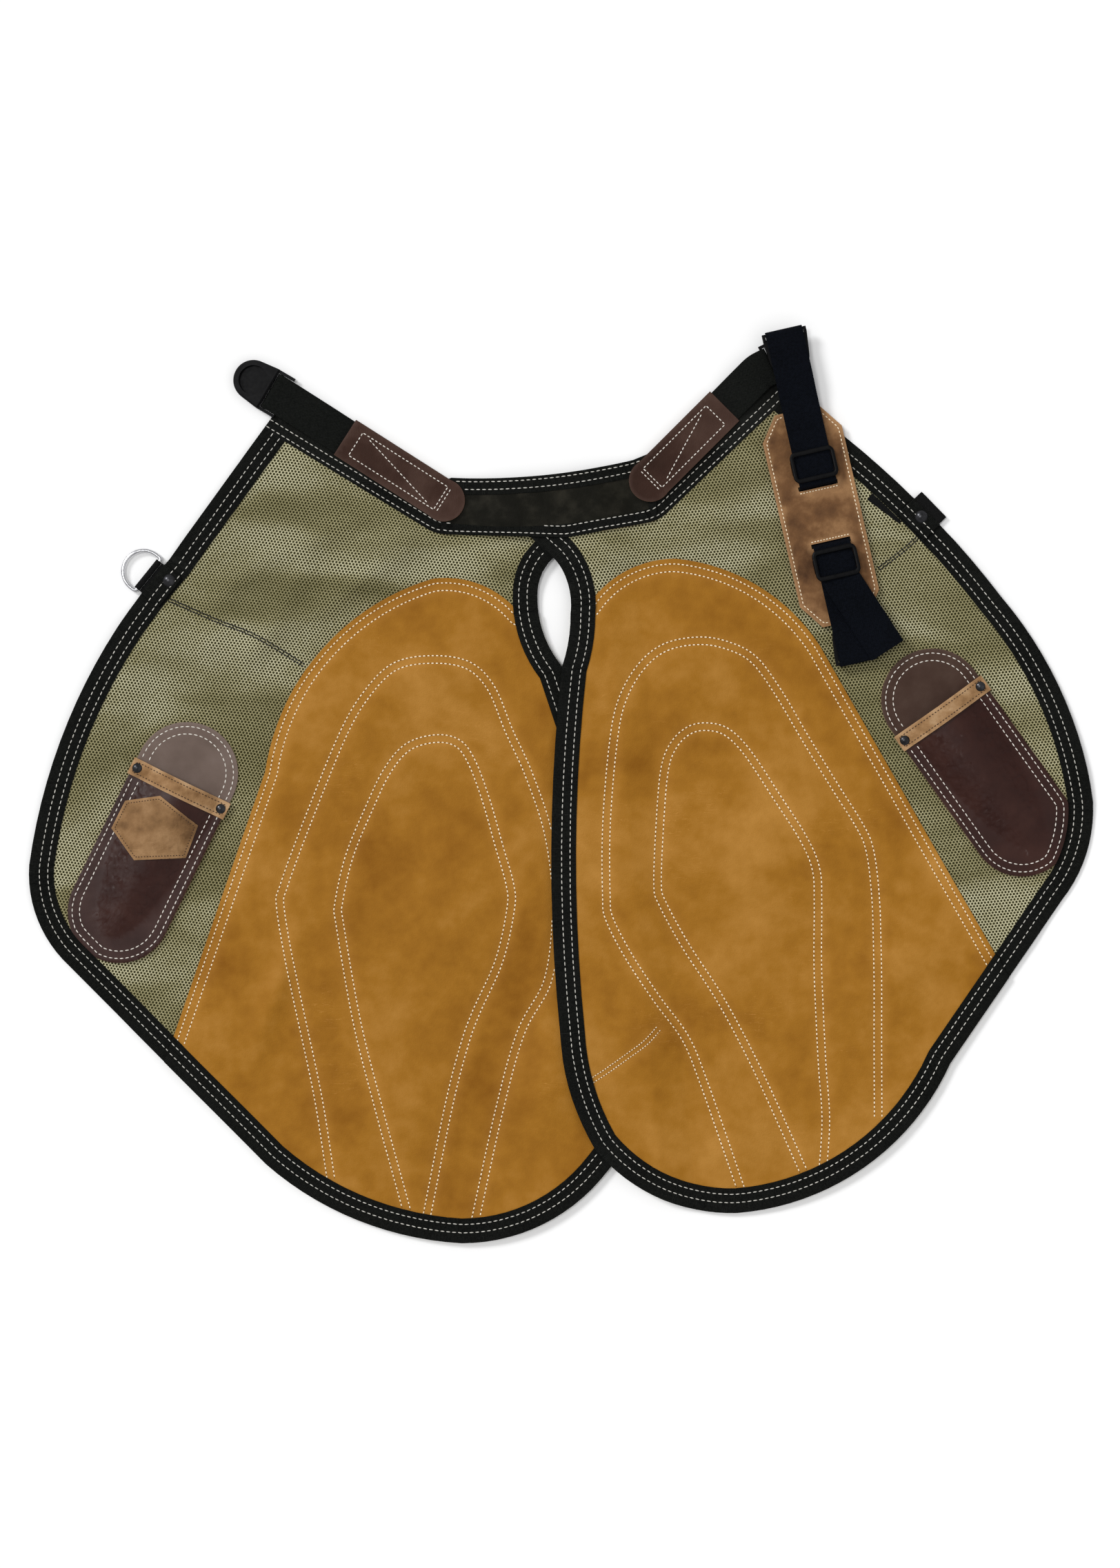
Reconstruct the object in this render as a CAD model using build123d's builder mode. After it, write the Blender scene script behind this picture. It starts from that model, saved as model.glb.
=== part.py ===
"""Shoeing apron, laid flat with its face up.

Millimetres. The waist points along +Y, the hems along -Y, and +Z comes up out of the apron's face.
z = 0 is the surface that the apron lies on, and the origin lies under the middle of its outline.
The right leg lies over the left one at the split, so its inner edge is lifted and slopes down beyond.
"""

from build123d import *
import os
from math import asin, cos, radians, sin

os.makedirs("parts", exist_ok=True)

# ------------------------------------------------------------------ sewn body, driving sizes
apron_width = 1078.0
apron_length = 931.0
pattern_width = 1078.0  # the middle size, for which the pattern points below are drawn
pattern_length = 931.0

tape = 0.8  # one ply of the folded edge binding
mesh = 1.0
hide = 2.0  # leather of the leg panels and the waistband
binding_width = 25.0
edge_margin = 0.3  # between the binding's inner edge and whatever is sewn beside it

mesh_low = tape
mesh_top = mesh_low + mesh
hide_top = mesh_top + hide
binding_top = mesh_top + tape

leg_gap = 0.4
leg_lift = hide_top + tape + leg_gap  # right leg's underside, where it lies over the left leg
fold_heading = 5.25  # how far the lifted stretch's far edge leans, in degrees
lift_end = 64.0  # the lift is full up to here, measured along the fold heading
floor_start = 96.0  # and gone from here
band_lift_start = -66.0  # where the waistband begins to climb onto the right leg
band_lift_full = -20.0

# ------------------------------------------------------------------ belts, driving sizes
webbing = 2.0
webbing_width = 38.0
belt_slope = 24.0  # length over which a belt climbs from the waist to its buckle
belt_lead = 7.0  # straight webbing behind each buckle bar
belt_bend_radius = 30.0
fold_return = 10.0  # how far a belt's end comes back under itself
sewn_length = 75.0
buckle_offset_left = (-6.4, 15.8)  # buckle bar from the left waist corner
belt_heading_left = 149.5
belt_bend_left = -2.0
belt_run_left = 79.0
belt_heading_right = 26.5
belt_bend_right = 18.5
belt_run_right = 44.0

tab_thickness = 2.2
tab_width = 42.0
tab_point = 26.0
tab_length_left = 140.0
tab_length_right = 128.0

# ------------------------------------------------------------------ buckles, driving sizes
bar_radius = 1.5
bar_clearance = 0.15
side_clearance = 0.6
floor_clearance = 0.15
rail = 3.0
socket_height = 8.5
socket_below_bar = 3.3
socket_bar_to_centre = 22.0
socket_radius = 20.5
recess_radius = 15.0
recess_depth = 5.0
plug_clearance = 0.4
boss_clearance = 0.3
plug_gap = 0.2  # between the plug's plate and the socket's face
plug_plate = 3.2
plate_below_fold = 0.6
wrap_clearance = 0.45

fold_inner = bar_radius + bar_clearance
fold_outer = fold_inner + webbing
plate_start = fold_outer + wrap_clearance
edge_place = webbing_width / 2 + side_clearance
plug_bar_to_centre = plate_start + socket_radius
boss_radius = recess_radius - plug_clearance
boss_height = recess_depth + plug_gap - boss_clearance
left_bar_height = floor_clearance + fold_outer
right_bar_height = binding_top + floor_clearance + fold_outer
right_socket_top = right_bar_height - socket_below_bar + socket_height

# ------------------------------------------------------------------ back strap, driving sizes
strap_tilt = 12.8  # from the apron's length, in degrees
strap_top_offset = (9.8, 48.1)  # strap's top ridge from the right waist corner
pad_length = 220.0
pad_width = 82.0
pad_chamfer = (25.0, 18.0)
pad_start = 83.0  # pad's top edge, down the strap from its ridge
pad_offset = 4.0
pad_low = 4.4
pad_lining = 1.5
pad_leather = 2.0
slot_spacing = 59.5
slot_clearance = 1.25
slide_length = 32.0
slide_width = 46.0
slide_edge = 5.0
slide_bar = 2.4
slide_rest = 0.3
slide_to_slot = 21.0
ply_gap = 0.3
tail_thickness = 1.5
tail_gap = 0.2
tail_turn = 20.0
tail_reach = 346.0
strap_drop = 22.0  # length over which the strap comes down past the upper buckle
strap_rise = 15.0  # and climbs to the lower one

pad_end = pad_start + pad_length
pad_middle = (pad_start + pad_end) / 2
pad_top = pad_low + pad_lining + pad_leather
slot_upper = pad_middle - 1.5 - slot_spacing / 2
slot_lower = slot_upper + slot_spacing
upper_slide = slot_upper - slide_to_slot
lower_slide = slot_lower + slide_to_slot
lower_ply = pad_top + slide_rest + slide_bar + ply_gap + webbing / 2
upper_ply = lower_ply + webbing
slide_low = upper_ply + webbing / 2 + ply_gap
slide_top = slide_low + 2.5
behind_pad = pad_low - ply_gap - webbing / 2
upper_bar_height = right_socket_top + plug_gap + plug_plate + plate_below_fold
lower_bar_height = pad_top + slide_rest + plug_plate + plate_below_fold
plug_nose = fold_outer + plug_bar_to_centre + socket_radius
lower_bar_place = pad_end + 0.8 + boss_radius + plug_bar_to_centre
tail_low = lower_ply + webbing / 2 + tail_gap
tail_high = lower_bar_height + fold_outer + tail_gap

# ------------------------------------------------------------------ pockets, driving sizes
pocket_length = 260.0
pocket_width = 104.0
pocket_back = 1.5
pocket_front = 2.0
pocket_rise = 10.0
pocket_bulge = 40.0  # half the width of the domed part at its mouth
dome_length = 175.0
keeper_place = 61.0  # up from the pocket's middle
keeper_width = 18.0
keeper_length = 108.0
keeper_thickness = 2.0
keeper_gap = 0.3
mouth_above_keeper = 7.0
rivet_spread = 47.0
rivet_shank = 1.5
rivet_clearance = 0.1
keeper_rivet_head = (5.0, 2.2)  # radius and height
hip_rivet_head = (6.5, 3.2)
patch_thickness = 1.2
patch_gap = 0.05

back_top = mesh_top + pocket_back
flange_top = back_top + pocket_front
keeper_top = flange_top + keeper_thickness
dome_radius = (pocket_bulge**2 + pocket_rise**2) / (2 * pocket_rise)
dome_axis = flange_top + pocket_rise - dome_radius
mouth = keeper_place + mouth_above_keeper

# ------------------------------------------------------------------ hips, driving sizes
loop_ply = 1.2
loop_width = 36.0
loop_inner_end = -22.0
flat_loop_out = 10.0
ring_wire = 2.0
ring_radius = 21.0  # to the middle of the wire
ring_clearance = 0.15
ring_bar_out = 6.0
ring_straight = 6.0
ring_corner = 3.0
hip_place_left = 0.075  # along the hip curve, from its top
hip_place_right = 0.44
loop_top = mesh_top + 2 * loop_ply
ring_height = ring_wire + ring_clearance + loop_ply + 0.05
label_thickness = 0.5

reach = 1500.0  # longer than the apron, for cutting shapes
headroom = 60.0


# ------------------------------------------------------------------ helpers
def grade(x, y):
    """A pattern point, graded from the middle size to this apron's width and length."""
    return (x * apron_width / pattern_width, y * apron_length / pattern_length)


def frame_at(x, y, heading, z=0.0):
    """A level frame whose x axis points along a heading, in degrees from +X."""
    ahead = (cos(radians(heading)), sin(radians(heading)), 0)
    return Plane(origin=(x, y, z), x_dir=ahead, z_dir=(0, 0, 1))


def inside(frame, x, y=0.0, z=0.0, turn=0.0):
    """A frame placed within another one, and turned about its own z axis."""
    return Plane(frame.location * Location((x, y, z), (0, 0, turn)))


def upright(frame):
    """The upright plane along a frame's x axis: its own x is that axis, and its y is up."""
    return Plane(origin=frame.origin, x_dir=frame.x_dir, z_dir=-frame.y_dir)


def across(frame):
    """The upright plane square to a frame's x axis: its own x is the frame's y, and its y is up."""
    return Plane(origin=frame.origin, x_dir=frame.y_dir, z_dir=frame.x_dir)


def raised(path, height):
    """A path of (distance, height) points, moved up."""
    return [(along, level + height) for along, level in path]


def slab(footprint, under, over, plane):
    """The layer between two height paths, drawn on an upright plane, cut to a footprint."""
    with BuildPart() as layer:
        with BuildSketch(plane):
            with BuildLine():
                Polyline(*under, *reversed(over), close=True)
            make_face()
        extrude(amount=reach, both=True)
        extrude(footprint, amount=headroom, dir=(0, 0, 1), mode=Mode.INTERSECT)
    return layer.part


def inset(shape, distance):
    """A footprint drawn in by a distance all round."""
    with BuildSketch() as smaller:
        add(shape)
        offset(amount=-distance)
    return smaller.sketch


def shared(first, second):
    """Where two footprints overlap."""
    with BuildSketch() as both:
        add(first)
        add(second, mode=Mode.INTERSECT)
    return both.sketch


floor_path = [(-reach, 0.0), (reach, 0.0)]
right_path = [(-reach, leg_lift), (lift_end, leg_lift), (floor_start, 0.0), (reach, 0.0)]
band_path = [(-reach, 0.0), (band_lift_start, 0.0), (band_lift_full, leg_lift)] + right_path[1:]
fold_plane = upright(frame_at(0, 0, fold_heading))

# ------------------------------------------------------------------ outlines of the legs
waist_corner_left = grade(-287, 384)
waist_corner_right = grade(213.4, 414)

with BuildLine() as hip_curve_left:
    ThreePointArc(grade(-398, 230), grade(-491.7, 86), grade(-540, -80))
with BuildLine() as hip_curve_right:
    ThreePointArc(grade(304, 340), grade(378, 270), grade(444.5, 192))

with BuildSketch() as left_leg:
    with BuildLine():
        Line(waist_corner_left, grade(-398, 230))
        add(hip_curve_left.line)
        ThreePointArc(grade(-540, -80), grade(-531, -137), grade(-500, -182))
        Line(grade(-500, -182), grade(-300, -383))
        ThreePointArc(grade(-300, -383), grade(-214, -437), grade(-102, -463))
        ThreePointArc(grade(-102, -463), grade(-22, -445), grade(46, -390))
        ThreePointArc(grade(46, -390), grade(68, -352), grade(75, -300))
        ThreePointArc(grade(75, -300), grade(77, -180), grade(60, -60))
        Line(grade(60, -60), grade(0, 121))
        ThreePointArc(grade(0, 121), grade(-19, 155), grade(-25, 192))
        ThreePointArc(grade(-25, 192), grade(-19, 218), grade(0, 238))
        Polyline(grade(0, 238), grade(24, 262), grade(24, 300), grade(-150, 299), waist_corner_left)
    make_face()

with BuildSketch() as right_leg:
    with BuildLine():
        Line(waist_corner_right, grade(304, 340))
        add(hip_curve_right.line)
        ThreePointArc(grade(444.5, 192), grade(502, 104), grade(538, -16))
        ThreePointArc(grade(538, -16), grade(531, -70), grade(507, -115))
        Line(grade(507, -115), grade(393, -281))
        ThreePointArc(grade(393, -281), grade(306, -386), grade(176.5, -432.6))
        ThreePointArc(grade(176.5, -432.6), grade(96, -416), grade(33, -367))
        ThreePointArc(grade(33, -367), grade(9, -312), grade(-2, -250))
        ThreePointArc(grade(-2, -250), grade(-11, -70), grade(0, 121))
        ThreePointArc(grade(0, 121), grade(6.5, 147), grade(8.5, 175))
        ThreePointArc(grade(8.5, 175), grade(5, 208), grade(-8, 231))
        Polyline(grade(-8, 231), grade(-36, 256), grade(-36, 300), grade(82.7, 300),
                 grade(94, 300), waist_corner_right)
    make_face()


def above_waist(drop):
    """Everything above the waist binding's lower edge, moved down by a drop."""
    edge = [grade(-380, 410), grade(-128, 255.5), grade(3.5, 251.5), grade(98, 269), grade(270, 434)]
    with BuildSketch() as region:
        with BuildLine():
            lower = FilletPolyline(*[(x, y - drop) for x, y in edge], radius=40)
            Polyline(lower @ 1, (reach, reach), (-reach, reach), lower @ 0)
        make_face()
    return region.sketch


with BuildSketch() as waist_front:
    with BuildLine():
        Polyline(grade(-150, 250), grade(-150, 299), grade(-112, 312.5))
        ThreePointArc(grade(-112, 312.5), grade(-15, 315), grade(72, 330.5))
        Polyline(grade(72, 330.5), grade(100, 342), grade(150, 353.5), grade(150, 290),
                 grade(100, 250), grade(-150, 250))
    make_face()

with BuildSketch() as whole_waist:
    add(left_leg.sketch)
    add(right_leg.sketch)
    add(waist_front.sketch)
    add(above_waist(40.0), mode=Mode.INTERSECT)

waist_strip = shared(whole_waist.sketch, above_waist(0.0))
waist_inner = inset(whole_waist.sketch, tape)

# ------------------------------------------------------------------ stitched arches
with BuildSketch() as left_arch:
    with BuildLine():
        Line(grade(-435, -374), grade(-301, 14))
        ThreePointArc(grade(-301, 14), grade(-248, 133), grade(-131, 210))
        ThreePointArc(grade(-131, 210), grade(-85, 205), grade(-43, 175))
        Polyline(grade(-43, 175), grade(150, 175), grade(150, -600), grade(-435, -600),
                 grade(-435, -374))
    make_face()

with BuildSketch() as right_arch:
    with BuildLine():
        Line(grade(485, -252), grade(262, 141))
        ThreePointArc(grade(262, 141), grade(195, 205), grade(115, 230))
        ThreePointArc(grade(115, 230), grade(60, 215), grade(26, 182))
        Polyline(grade(26, 182), grade(-60, 182), grade(-60, -600), grade(485, -600), grade(485, -252))
    make_face()

with BuildSketch() as left_knee:
    with BuildLine():
        ThreePointArc(grade(-245, 0), grade(-206, 102), grade(-131, 131))
        ThreePointArc(grade(-131, 131), grade(-76, 87), grade(-40, 0))
        Polyline(grade(-40, 0), grade(-10, -90), grade(-13, -202), grade(-95, -490),
                 grade(-215, -490), grade(-288, -118), grade(-245, 0))
    make_face()

with BuildSketch() as right_knee:
    with BuildLine():
        ThreePointArc(grade(47, 0), grade(72, 116), grade(137, 149))
        ThreePointArc(grade(137, 149), grade(209, 92), grade(273, 0))
        Polyline(grade(273, 0), grade(309, -62), grade(319, -480), grade(195, -480),
                 grade(123, -251), grade(57, -153), grade(40, -107), grade(47, 0))
    make_face()


# ------------------------------------------------------------------ places on the apron
def hip_frame(curve, place, hand):
    """A frame on a hip's outline, with x pointing out of the apron; hand is 1 on the left hip."""
    spot = curve.line @ place
    down = curve.line % place
    return Plane(origin=(spot.X, spot.Y, 0), x_dir=(hand * down.Y, -hand * down.X, 0), z_dir=(0, 0, 1))


pocket_left = frame_at(*grade(-414.6, -57.2), 64.0)
pocket_right = frame_at(*grade(420.7, 23.9), 125.5)
hip_left = hip_frame(hip_curve_left, hip_place_left, 1)
hip_right = hip_frame(hip_curve_right, hip_place_right, -1)
hip_rivet_left = inside(hip_left, -14.0, -9.0)
hip_rivet_right = inside(hip_right, -8.0)
ring_frame = inside(hip_left, ring_bar_out, 0, ring_height)

strap = frame_at(waist_corner_right[0] + strap_top_offset[0],
                 waist_corner_right[1] + strap_top_offset[1], strap_tilt - 90)
upper_bar = inside(strap, fold_outer, 0, upper_bar_height)
lower_bar = inside(strap, lower_bar_place, 0, lower_bar_height, 180)
upper_catch = inside(strap, fold_outer + plug_bar_to_centre)
bar_left = frame_at(waist_corner_left[0] + buckle_offset_left[0],
                    waist_corner_left[1] + buckle_offset_left[1], belt_heading_left, left_bar_height)
bar_right = inside(frame_at(upper_catch.origin.X, upper_catch.origin.Y, belt_heading_right),
                   -socket_bar_to_centre, 0, right_bar_height)


# ------------------------------------------------------------------ rivets
def rivet(spot, seat, head, grow=0.0):
    """A domed rivet with a flat cap below, under a seat height; grown, it is its own hole."""
    radius, height = head
    shank = rivet_shank + grow
    cap = radius * 0.8 + grow
    dome_size = (radius**2 + height**2) / (2 * height)
    halfway = asin(radius / dome_size) / 2
    shoulder = (dome_size * sin(halfway), seat + height - dome_size * (1 - cos(halfway)))
    with BuildPart() as pin:
        with BuildSketch(upright(frame_at(spot.origin.X, spot.origin.Y, 0))):
            with BuildLine():
                Polyline((0, 0), (cap, 0), (cap, tape), (shank, tape), (shank, seat), (radius, seat))
                ThreePointArc((radius, seat), shoulder, (0, seat + height))
                Line((0, seat + height), (0, 0))
            make_face()
        revolve(axis=Axis((spot.origin.X, spot.origin.Y, 0), (0, 0, 1)))
    return pin.part


def keeper_rivets(pocket, grow=0.0):
    """Both rivets of a pocket's keeper strap."""
    with BuildPart() as pair:
        for side in (1, -1):
            spot = inside(pocket, keeper_place, side * rivet_spread)
            add(rivet(spot, keeper_top, keeper_rivet_head, grow))
    return pair.part


def hip_rivet(spot, grow=0.0):
    """The rivet of a hip loop."""
    return rivet(spot, loop_top + tape, hip_rivet_head, grow)


# ------------------------------------------------------------------ mesh, linings, leather
for side, leg, path, pocket, hip in (
    ("left", left_leg, floor_path, pocket_left, hip_rivet_left),
    ("right", right_leg, right_path, pocket_right, hip_rivet_right),
):
    with BuildPart() as mesh_panel:
        add(slab(inset(leg.sketch, tape), raised(path, mesh_low), raised(path, mesh_top), fold_plane))
        add(keeper_rivets(pocket, rivet_clearance), mode=Mode.SUBTRACT)
        add(hip_rivet(hip, rivet_clearance), mode=Mode.SUBTRACT)
    mesh_panel.part.label = f"mesh_panel_{side}"
    export_step(mesh_panel.part, f"parts/mesh_panel_{side}.step")

for side, leg, arch, knee, path in (
    ("left", left_leg, left_arch, left_knee, floor_path),
    ("right", right_leg, right_arch, right_knee, right_path),
):
    behind = shared(knee.sketch, inset(leg.sketch, binding_width + edge_margin))
    with BuildPart() as knee_lining:
        add(slab(behind, path, raised(path, mesh_low), fold_plane))
    knee_lining.part.label = f"knee_lining_{side}"
    export_step(knee_lining.part, f"parts/knee_lining_{side}.step")

    hide_shape = shared(inset(leg.sketch, tape), arch.sketch)
    with BuildPart() as leather_panel:
        add(slab(hide_shape, raised(path, mesh_top), raised(path, hide_top), fold_plane))
    leather_panel.part.label = f"leather_panel_{side}"
    export_step(leather_panel.part, f"parts/leather_panel_{side}.step")


# ------------------------------------------------------------------ hip loops, D-ring, hip rivets
def loop_shape(hip, outer):
    """A hip loop's footprint, from its inner end out to a distance past the edge."""
    with BuildSketch(inside(hip, (loop_inner_end + outer) / 2)) as strip:
        Rectangle(outer - loop_inner_end, loop_width)
    return strip.sketch


strip_left = loop_shape(hip_left, ring_bar_out - ring_wire)
strip_right = loop_shape(hip_right, flat_loop_out)

with BuildPart() as hip_loop_left:
    add(slab(strip_left, raised(floor_path, mesh_top), raised(floor_path, loop_top), fold_plane))
    with BuildSketch(upright(ring_frame)):
        Circle(ring_wire + ring_clearance + loop_ply)
    extrude(amount=loop_width / 2, both=True)
    with BuildSketch(upright(ring_frame)):
        Circle(ring_wire + ring_clearance)
    extrude(amount=loop_width / 2, both=True, mode=Mode.SUBTRACT)
    add(hip_rivet(hip_rivet_left, rivet_clearance), mode=Mode.SUBTRACT)
hip_loop_left.part.label = "hip_loop_left"
export_step(hip_loop_left.part, "parts/hip_loop_left.step")

with BuildPart() as hip_loop_right:
    add(slab(strip_right, raised(floor_path, mesh_top), raised(floor_path, loop_top), fold_plane))
    add(hip_rivet(hip_rivet_right, rivet_clearance), mode=Mode.SUBTRACT)
hip_loop_right.part.label = "hip_loop_right"
export_step(hip_loop_right.part, "parts/hip_loop_right.step")

with BuildPart() as d_ring_left:
    with BuildLine(ring_frame) as ring_route:
        FilletPolyline((ring_straight, -ring_radius), (0, -ring_radius), (0, ring_radius),
                       (ring_straight, ring_radius), radius=ring_corner)
        ThreePointArc((ring_straight, ring_radius), (ring_straight + ring_radius, 0),
                      (ring_straight, -ring_radius))
    with BuildSketch(across(inside(ring_frame, ring_straight, -ring_radius))):
        Circle(ring_wire)
    sweep(path=ring_route.wires()[0])
d_ring_left.part.label = "d_ring_left"
export_step(d_ring_left.part, "parts/d_ring_left.step")

for side, spot in (("left", hip_rivet_left), ("right", hip_rivet_right)):
    with BuildPart() as hip_stud:
        add(hip_rivet(spot))
    hip_stud.part.label = f"hip_rivet_{side}"
    export_step(hip_stud.part, f"parts/hip_rivet_{side}.step")

# ------------------------------------------------------------------ edge bindings
for side, leg, arch, path, strip, stud in (
    ("left", left_leg, left_arch, floor_path, strip_left, hip_rivet_left),
    ("right", right_leg, right_arch, right_path, strip_right, hip_rivet_right),
):
    with BuildSketch() as ring:
        add(leg.sketch)
        add(inset(leg.sketch, binding_width), mode=Mode.SUBTRACT)
        add(above_waist(0.0), mode=Mode.SUBTRACT)
    with BuildSketch() as over_hide:
        add(arch.sketch)
        offset(amount=tape)
        add(ring.sketch, mode=Mode.INTERSECT)
    with BuildSketch() as over_loop:
        add(strip)
        offset(amount=tape)
        add(ring.sketch, mode=Mode.INTERSECT)
    panel = inset(leg.sketch, tape)
    under_hide = shared(panel, arch.sketch)
    loop_ceiling = raised(floor_path, loop_top + tape)
    with BuildPart() as edge_binding:
        add(slab(ring.sketch, path, raised(path, binding_top), fold_plane))
        add(slab(over_hide.sketch, path, raised(path, hide_top + tape), fold_plane))
        add(slab(panel, raised(path, tape), raised(path, mesh_top), fold_plane), mode=Mode.SUBTRACT)
        add(slab(under_hide, raised(path, tape), raised(path, hide_top), fold_plane), mode=Mode.SUBTRACT)
        add(slab(over_loop.sketch, raised(floor_path, mesh_top), loop_ceiling, fold_plane))
        add(slab(strip, raised(floor_path, mesh_top), raised(floor_path, loop_top), fold_plane),
            mode=Mode.SUBTRACT)
        add(hip_rivet(stud, rivet_clearance), mode=Mode.SUBTRACT)
    edge_binding.part.label = f"edge_binding_{side}"
    export_step(edge_binding.part, f"parts/edge_binding_{side}.step")

# ------------------------------------------------------------------ waistband and its binding
with BuildSketch() as band_zone:
    with Locations(grade(-13.5, 290)):
        Rectangle(217 * apron_width / pattern_width, 160 * apron_length / pattern_length)
    add(waist_inner, mode=Mode.INTERSECT)
    add(above_waist(0.0), mode=Mode.INTERSECT)

with BuildSketch() as band_window:
    with BuildLine():
        ThreePointArc(grade(-117, 296), grade(-15, 298.5), grade(88, 317))
        Line(grade(88, 317), grade(88, 281))
        ThreePointArc(grade(88, 281), grade(-10, 264), grade(-117, 267))
        Line(grade(-117, 267), grade(-117, 296))
    make_face()

with BuildPart() as waistband:
    add(slab(band_zone.sketch, raised(band_path, mesh_top), raised(band_path, hide_top), fold_plane))
waistband.part.label = "waistband"
export_step(waistband.part, "parts/waistband.step")

with BuildSketch() as waist_tape:
    add(waist_strip)
    add(band_window.sketch, mode=Mode.SUBTRACT)
with BuildSketch() as over_band:
    add(band_zone.sketch)
    offset(amount=tape)
    add(waist_tape.sketch, mode=Mode.INTERSECT)

with BuildPart() as waist_binding:
    add(slab(waist_tape.sketch, floor_path, raised(band_path, binding_top), fold_plane))
    add(slab(over_band.sketch, floor_path, raised(band_path, hide_top + tape), fold_plane))
    add(slab(waist_inner, raised(floor_path, tape), raised(band_path, mesh_top), fold_plane),
        mode=Mode.SUBTRACT)
    add(slab(band_zone.sketch, raised(floor_path, tape), raised(band_path, hide_top), fold_plane),
        mode=Mode.SUBTRACT)
waist_binding.part.label = "waist_binding"
export_step(waist_binding.part, "parts/waist_binding.step")

with BuildSketch(frame_at(*grade(329.0, 282.5), -37.0)) as label_shape:
    Rectangle(41.0, 11.0)
label_room = shared(label_shape.sketch, inset(right_leg.sketch, binding_width + edge_margin))
with BuildPart() as hip_label:
    add(slab(label_room, raised(floor_path, mesh_top), raised(floor_path, mesh_top + label_thickness),
             fold_plane))
hip_label.part.label = "hip_label"
export_step(hip_label.part, "parts/hip_label.step")


# ------------------------------------------------------------------ buckles
def buckle_plate(bar, centre, low, height):
    """A round-nosed buckle body ahead of its webbing bar."""
    with BuildPart() as plate:
        with BuildSketch(inside(bar, 0, 0, low)):
            with Locations((centre, 0)):
                Circle(socket_radius)
            with Locations((plate_start + 1.0, 0)):
                Rectangle(2.0, 2 * (edge_place + rail))
            make_hull()
            with Locations((plate_start - headroom / 2, 0)):
                Rectangle(headroom, 2 * headroom, mode=Mode.SUBTRACT)
        extrude(amount=height)
    return plate.part


def buckle_bar(bar, behind, low, high):
    """The webbing bar, and the two rails that carry it from the buckle's body."""
    with BuildPart() as frame:
        with BuildSketch(upright(bar)):
            Circle(bar_radius)
        extrude(amount=edge_place + rail / 2, both=True)
        with BuildSketch(inside(bar, (plate_start + 1.0 - behind) / 2, 0, low)):
            with Locations((0, edge_place + rail / 2), (0, -edge_place - rail / 2)):
                Rectangle(plate_start + 1.0 + behind, rail)
        extrude(amount=high - low)
    return frame.part


def socket(bar, behind):
    """A round-nosed socket with a blind round recess in its face."""
    with BuildPart() as body:
        add(buckle_plate(bar, socket_bar_to_centre, -socket_below_bar, socket_height))
        chamfer(body.faces().sort_by(Axis.Z)[-1].edges(), length=1.5)
        add(buckle_bar(bar, behind, -0.8, 2.7))
        with Locations(inside(bar, socket_bar_to_centre, 0, socket_height - socket_below_bar).location):
            Hole(recess_radius, depth=recess_depth)
    return body.part


def plug(bar):
    """A plug: a round-nosed plate with the boss that drops into a socket's recess."""
    low = -plate_below_fold - plug_plate
    with BuildPart() as body:
        add(buckle_plate(bar, plug_bar_to_centre, low, plug_plate))
        with BuildSketch(inside(bar, plug_bar_to_centre, 0, low - boss_height)):
            Circle(boss_radius)
        extrude(amount=boss_height)
        add(buckle_bar(bar, bar_radius, low, bar_radius))
    return body.part


for side, bar, behind in (("left", bar_left, 14.0), ("right", bar_right, bar_radius)):
    with BuildPart() as buckle_socket:
        add(socket(bar, behind))
    buckle_socket.part.label = f"buckle_socket_{side}"
    export_step(buckle_socket.part, f"parts/buckle_socket_{side}.step")

for name, bar in (("upper", upper_bar), ("lower", lower_bar)):
    with BuildPart() as buckle_plug:
        add(plug(bar))
    buckle_plug.part.label = f"buckle_plug_{name}"
    export_step(buckle_plug.part, f"parts/buckle_plug_{name}.step")

# ------------------------------------------------------------------ belts and their leather tabs
for side, bar, bend, run, tab_length in (
    ("left", bar_left, belt_bend_left, belt_run_left, tab_length_left),
    ("right", bar_right, belt_bend_right, belt_run_right, tab_length_right),
):
    with BuildSketch(inside(bar, 0, 0, -bar.origin.Z)) as belt_plan:
        with BuildLine():
            lead = Line((0, 0), (-belt_lead, 0))
            turn = JernArc(lead @ 1, lead % 1, belt_bend_radius, bend)
            straight = Line(turn @ 1, turn @ 1 + (turn % 1) * run)
            Line(straight @ 1, straight @ 1 + (turn % 1) * sewn_length)
        trace(line_width=webbing_width)
    tab_root = straight @ 1
    tab_frame = inside(bar, tab_root.X, tab_root.Y, -bar.origin.Z, 180 + bend)

    high = bar.origin.Z + fold_inner
    climb = [(-reach, high), (-belt_slope - 4, high), (-4, binding_top), (reach, binding_top)]
    with BuildPart() as belt_webbing:
        add(slab(belt_plan.sketch, climb, raised(climb, webbing), upright(tab_frame)))
        with BuildSketch(upright(bar)):
            Circle(fold_outer)
            with Locations((-fold_return / 2, fold_inner)):
                Rectangle(fold_return, 2 * webbing)
            Circle(fold_inner, mode=Mode.SUBTRACT)
        extrude(amount=webbing_width / 2, both=True)
    belt_webbing.part.label = f"belt_webbing_{side}"
    export_step(belt_webbing.part, f"parts/belt_webbing_{side}.step")

    tab_low = max(binding_top + webbing, hide_top + tape)
    with BuildPart() as belt_tab:
        with BuildSketch(inside(tab_frame, 0, 0, tab_low)):
            with BuildLine():
                Polyline((tab_length - tab_point, tab_width / 2), (0, tab_width / 2),
                         (0, -tab_width / 2), (tab_length - tab_point, -tab_width / 2))
                ThreePointArc((tab_length - tab_point, -tab_width / 2), (tab_length, 0),
                              (tab_length - tab_point, tab_width / 2))
            make_face()
        extrude(amount=tab_thickness)
    belt_tab.part.label = f"belt_tab_{side}"
    export_step(belt_tab.part, f"parts/belt_tab_{side}.step")


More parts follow.
